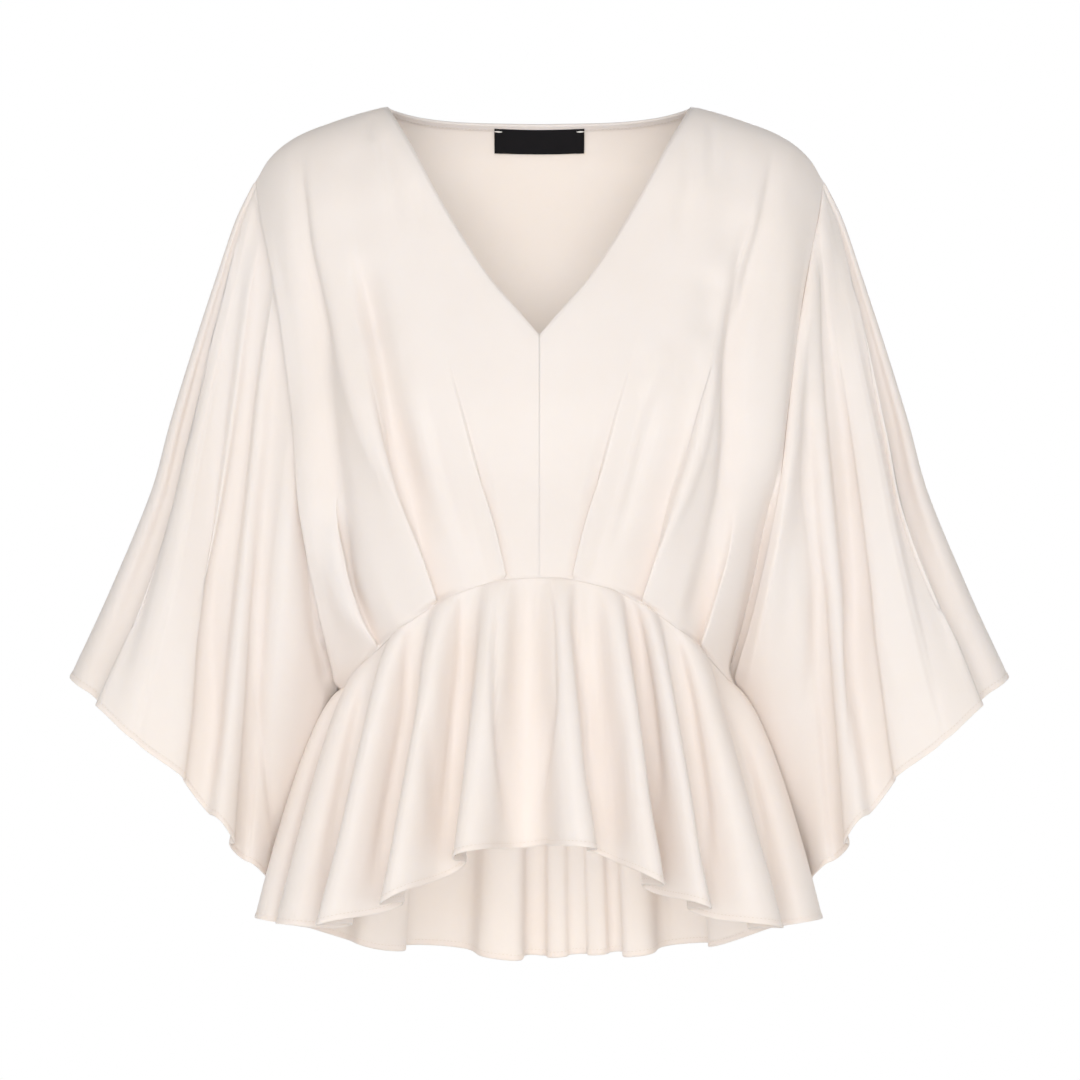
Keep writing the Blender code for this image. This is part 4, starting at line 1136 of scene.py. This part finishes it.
def plain_panel(name, points, normals):
    """A panel sewn in all round, in place of the node of its name."""
    piece = shell(f"{name}_cloth", points, normals, CLOTH_HALF, False, crepe)
    dress(piece, "cream_crepe", name)


def hemmed_panel(name, points, normals, closed):
    """A panel with a sewn hem along its lower edge, in place of the node of its name."""
    distance = run_along(points, 0)
    piece = shell(f"{name}_cloth", points, normals, hem_half(distance[-1:] - distance), closed, crepe)
    dress(piece, "cream_crepe", name)
    sewn = hem_stitches(f"{name}_hem_stitches", points, normals)


def bodice_half(face, side, edges):
    """Half of the bodice on the left, with its sewn edges rolled."""
    points, normals = bodice_panel(face, side)
    return edge_roll(points, normals, edges), normals


def bodice():
    """Both fronts and the back. Gives the left half of each face, for the neck binding."""
    fronts = {}
    for side, turn in (("left", np.copy), ("right", mirrored)):
        fronts[side] = bodice_half("front", side, ("top", "bottom", "first", "last"))
        plain_panel(f"front_{side}", *map(turn, fronts[side]))
    half = bodice_half("back", "left", ("top", "bottom", "last"))
    back = [np.concatenate([mirrored(grid)[:, ::-1], grid[:, 1:]], axis=1) for grid in half]
    plain_panel("back", *back)
    return {"front": fronts["left"], "back": half}


def sleeves():
    """Both sleeves, each cut in one piece."""
    for side, turn in (("left", np.copy), ("right", mirrored)):
        points, normals = sleeve_panel(side)
        points = edge_roll(points, normals, ("top",))
        hemmed_panel(f"sleeve_{side}", turn(points), turn(normals), True)


def peplum():
    """The front and the back of the peplum."""
    for face in ("front", "back"):
        points, normals = peplum_panel(face)
        points = edge_roll(points, normals, ("waist", "first", "last"))
        hemmed_panel(f"peplum_{face}", points, normals, False)


def neck_ring(halves):
    """The neck edge from the V point round and back, and its normals, along the top of both faces."""
    lines = []
    for face, grids in halves.items():
        count = int(np.argmin(np.abs(bodice_columns(face) - GUIDES[face][1][0]))) + 1
        lines.append([grid[0, :count] for grid in grids])
    joined = [np.concatenate([front, back[::-1][1:]]) for front, back in zip(*lines)]
    return [np.concatenate([line, mirrored(line[:-1])[::-1]]) for line in joined]


def neck_binding(halves):
    """The narrow band turned inside the whole neck edge, with its rounded rim and its stitches."""
    ring, normals = neck_ring(halves)
    run = run_along(ring, 0)
    run /= run[-1]
    steps = np.linspace(0.0, 1.0, 420)
    ring, normals = sampled(ring, run, steps), unit(sampled(normals, run, steps))
    inward = unit(np.cross(unit(np.gradient(ring, axis=0)), normals))
    inward *= -np.sign(inward[len(inward) // 2, 2])
    inward[0] = inward[-1] = (0.0, 0.0, -1.5)
    band = np.stack([ring + inward * along - normals * (CLOTH_HALF + depth) for along, depth in BAND])
    piece = shell("neck_binding_cloth", band, -np.broadcast_to(normals, band.shape), TRIM_HALF, False, crepe)
    dress(piece, "cream_crepe", "neck_binding")
    sewn = dress(stitches("neck_binding_stitches", band[6], -normals, (TRIM_HALF,), thread), "cream_crepe")


def neck_label():
    """The bare black tape inside the centre back, its ends folded in, with a white stitch on two corners."""
    across = np.linspace(-LABEL_WIDTH / 2, LABEL_WIDTH / 2, 93)
    x, fall = np.meshgrid(across, np.linspace(0.0, LABEL_DROP, 25))
    z = LABEL_TOP - fall - LABEL_SAG * (1 - (x / (LABEL_WIDTH / 2)) ** 2)
    label = np.stack([x, form_y(x, z, "back"), z], axis=-1)
    normals = -np.broadcast_to(outward(label, False, BODY_MIDDLE), label.shape)
    end_fold = 1 - ease(LABEL_WIDTH / 2 - np.abs(x), 5.6, 6.3)
    bowed = 0.5 * np.sin(math.pi * fall / LABEL_DROP) * (1 - end_fold)
    label = label + normals * (LABEL_LIFT + 0.45 * end_fold + bowed)[..., None]
    piece = shell("neck_label_cloth", label, normals, TRIM_HALF, False, black_tape)
    dress(piece, "label_cloth", "neck_label")
    radii = TACK_RADIUS * np.sin(np.linspace(0.25, math.pi - 0.25, 9))
    for side, corner in (("left", slice(-9, None)), ("right", slice(0, 9))):
        path = label[2, corner] + normals[2, corner] * 0.5
        dress(tube(f"neck_label_tack_{side}", path, radii, white_thread), "cream_crepe")


def studio_floor():
    """A plain pale round floor."""
    colours = ((0.9, 0.9, 0.9), (0.92, 0.92, 0.92))
    material = speckled_material("studio_floor", 0.9, 0.0, 0.1, 2.0, 2.0, colours)
    mesh = bpy.data.meshes.new("floor")
    turns = np.linspace(0.0, 2 * math.pi, 97)[:-1]
    rim = [(FLOOR_RADIUS * math.cos(turn), FLOOR_RADIUS * math.sin(turn), FLOOR_LEVEL) for turn in turns]
    mesh.from_pydata(rim, [], [tuple(range(len(rim)))])
    mesh.materials.append(material)
    floor = bpy.data.objects.new("floor", mesh)
    scene.collection.objects.link(floor)


def studio_room():
    """A dim room with a broad soft bank of light in front and above, and a white band all round."""
    world = bpy.data.worlds.new("studio")
    scene.world = world
    world.use_nodes = True
    nodes, links = world.node_tree.nodes, world.node_tree.links

    def step(operation, *values):
        """A value worked out from others, each a socket or a number."""
        node = nodes.new("ShaderNodeMath")
        node.operation = operation
        for socket, value in zip(node.inputs, values):
            if isinstance(value, (int, float)):
                socket.default_value = value
            else:
                links.new(value, socket)
        return node.outputs["Value"]

    sky = nodes["Background"]
    sky.inputs["Color"].default_value = (1.0, 1.0, 1.0, 1.0)
    around = nodes.new("ShaderNodeTexCoord").outputs["Generated"]
    facing = nodes.new("ShaderNodeVectorMath")
    facing.operation = "DOT_PRODUCT"
    facing.inputs[1].default_value = BANK_DIRECTION
    links.new(around, facing.inputs[0])
    front_share = step("MULTIPLY_ADD", facing.outputs["Value"], 0.5, 0.5)
    bank = step("MULTIPLY_ADD", step("POWER", front_share, BANK_POWER), BANK_LIGHT, ROOM_LIGHT)
    height = nodes.new("ShaderNodeSeparateXYZ")
    links.new(around, height.inputs["Vector"])
    band = nodes.new("ShaderNodeMapRange")
    band.interpolation_type = "SMOOTHSTEP"
    band.inputs["From Min"].default_value = 0.28
    band.inputs["From Max"].default_value = 0.21
    lowered = step("ADD", height.outputs["Z"], 0.04)
    links.new(step("ABSOLUTE", lowered), band.inputs["Value"])
    links.new(step("MAXIMUM", bank, band.outputs["Result"]), sky.inputs["Strength"])


def area_light(name, place, target, size, power, colour, spread=math.pi):
    """A round soft light that looks at a target."""
    light = bpy.data.lights.new(name, "AREA")
    light.shape = "DISK"
    light.size = size
    light.energy = power
    light.color = colour
    light.spread = spread
    lamp = bpy.data.objects.new(name, light)
    lamp.location = place
    lamp.rotation_mode = "QUATERNION"
    lamp.rotation_quaternion = (Vector(target) - Vector(place)).to_track_quat("-Z", "Y")
    scene.collection.objects.link(lamp)


def place_camera():
    """A camera level with the middle of the blouse, straight in front of it."""
    lens = bpy.data.cameras.new("camera")
    lens.sensor_width = 36.0
    lens.lens = 36.0 * CAMERA_DISTANCE / PICTURE_WIDTH
    camera = bpy.data.objects.new("camera", lens)
    camera.location = (0.0005, -CAMERA_DISTANCE, -0.32475)
    camera.rotation_euler = (math.radians(90.0), 0.0, 0.0)
    scene.collection.objects.link(camera)
    scene.camera = camera


scene = bpy.context.scene
scene.view_settings.view_transform = "Standard"
scene.view_settings.look = "None"

halves = bodice()
sleeves()
peplum()
neck_binding(halves)
neck_label()
studio_floor()
studio_room()
area_light("front_light", (-0.1, -3.3, 0.12), BLOUSE_MIDDLE, 2.1, 51.0, LAMP_WHITE)
area_light("back_light", (0.2, 3.3, 0.3), BLOUSE_MIDDLE, 2.1, 40.0, LAMP_WHITE)
# Two weak lights hidden inside the garment, for the inside of the neck and of the back hem
area_light("neck_fill", (0.0, -0.05, -0.28), (0.0, 0.07, -0.04), 0.09, 0.027, (0.98, 0.99, 1.0), 1.1)
area_light("hem_fill", (0.0, -0.04, -0.46), (0.0, 0.1, -0.61), 0.14, 0.16, (0.96, 0.975, 1.0))
place_camera()
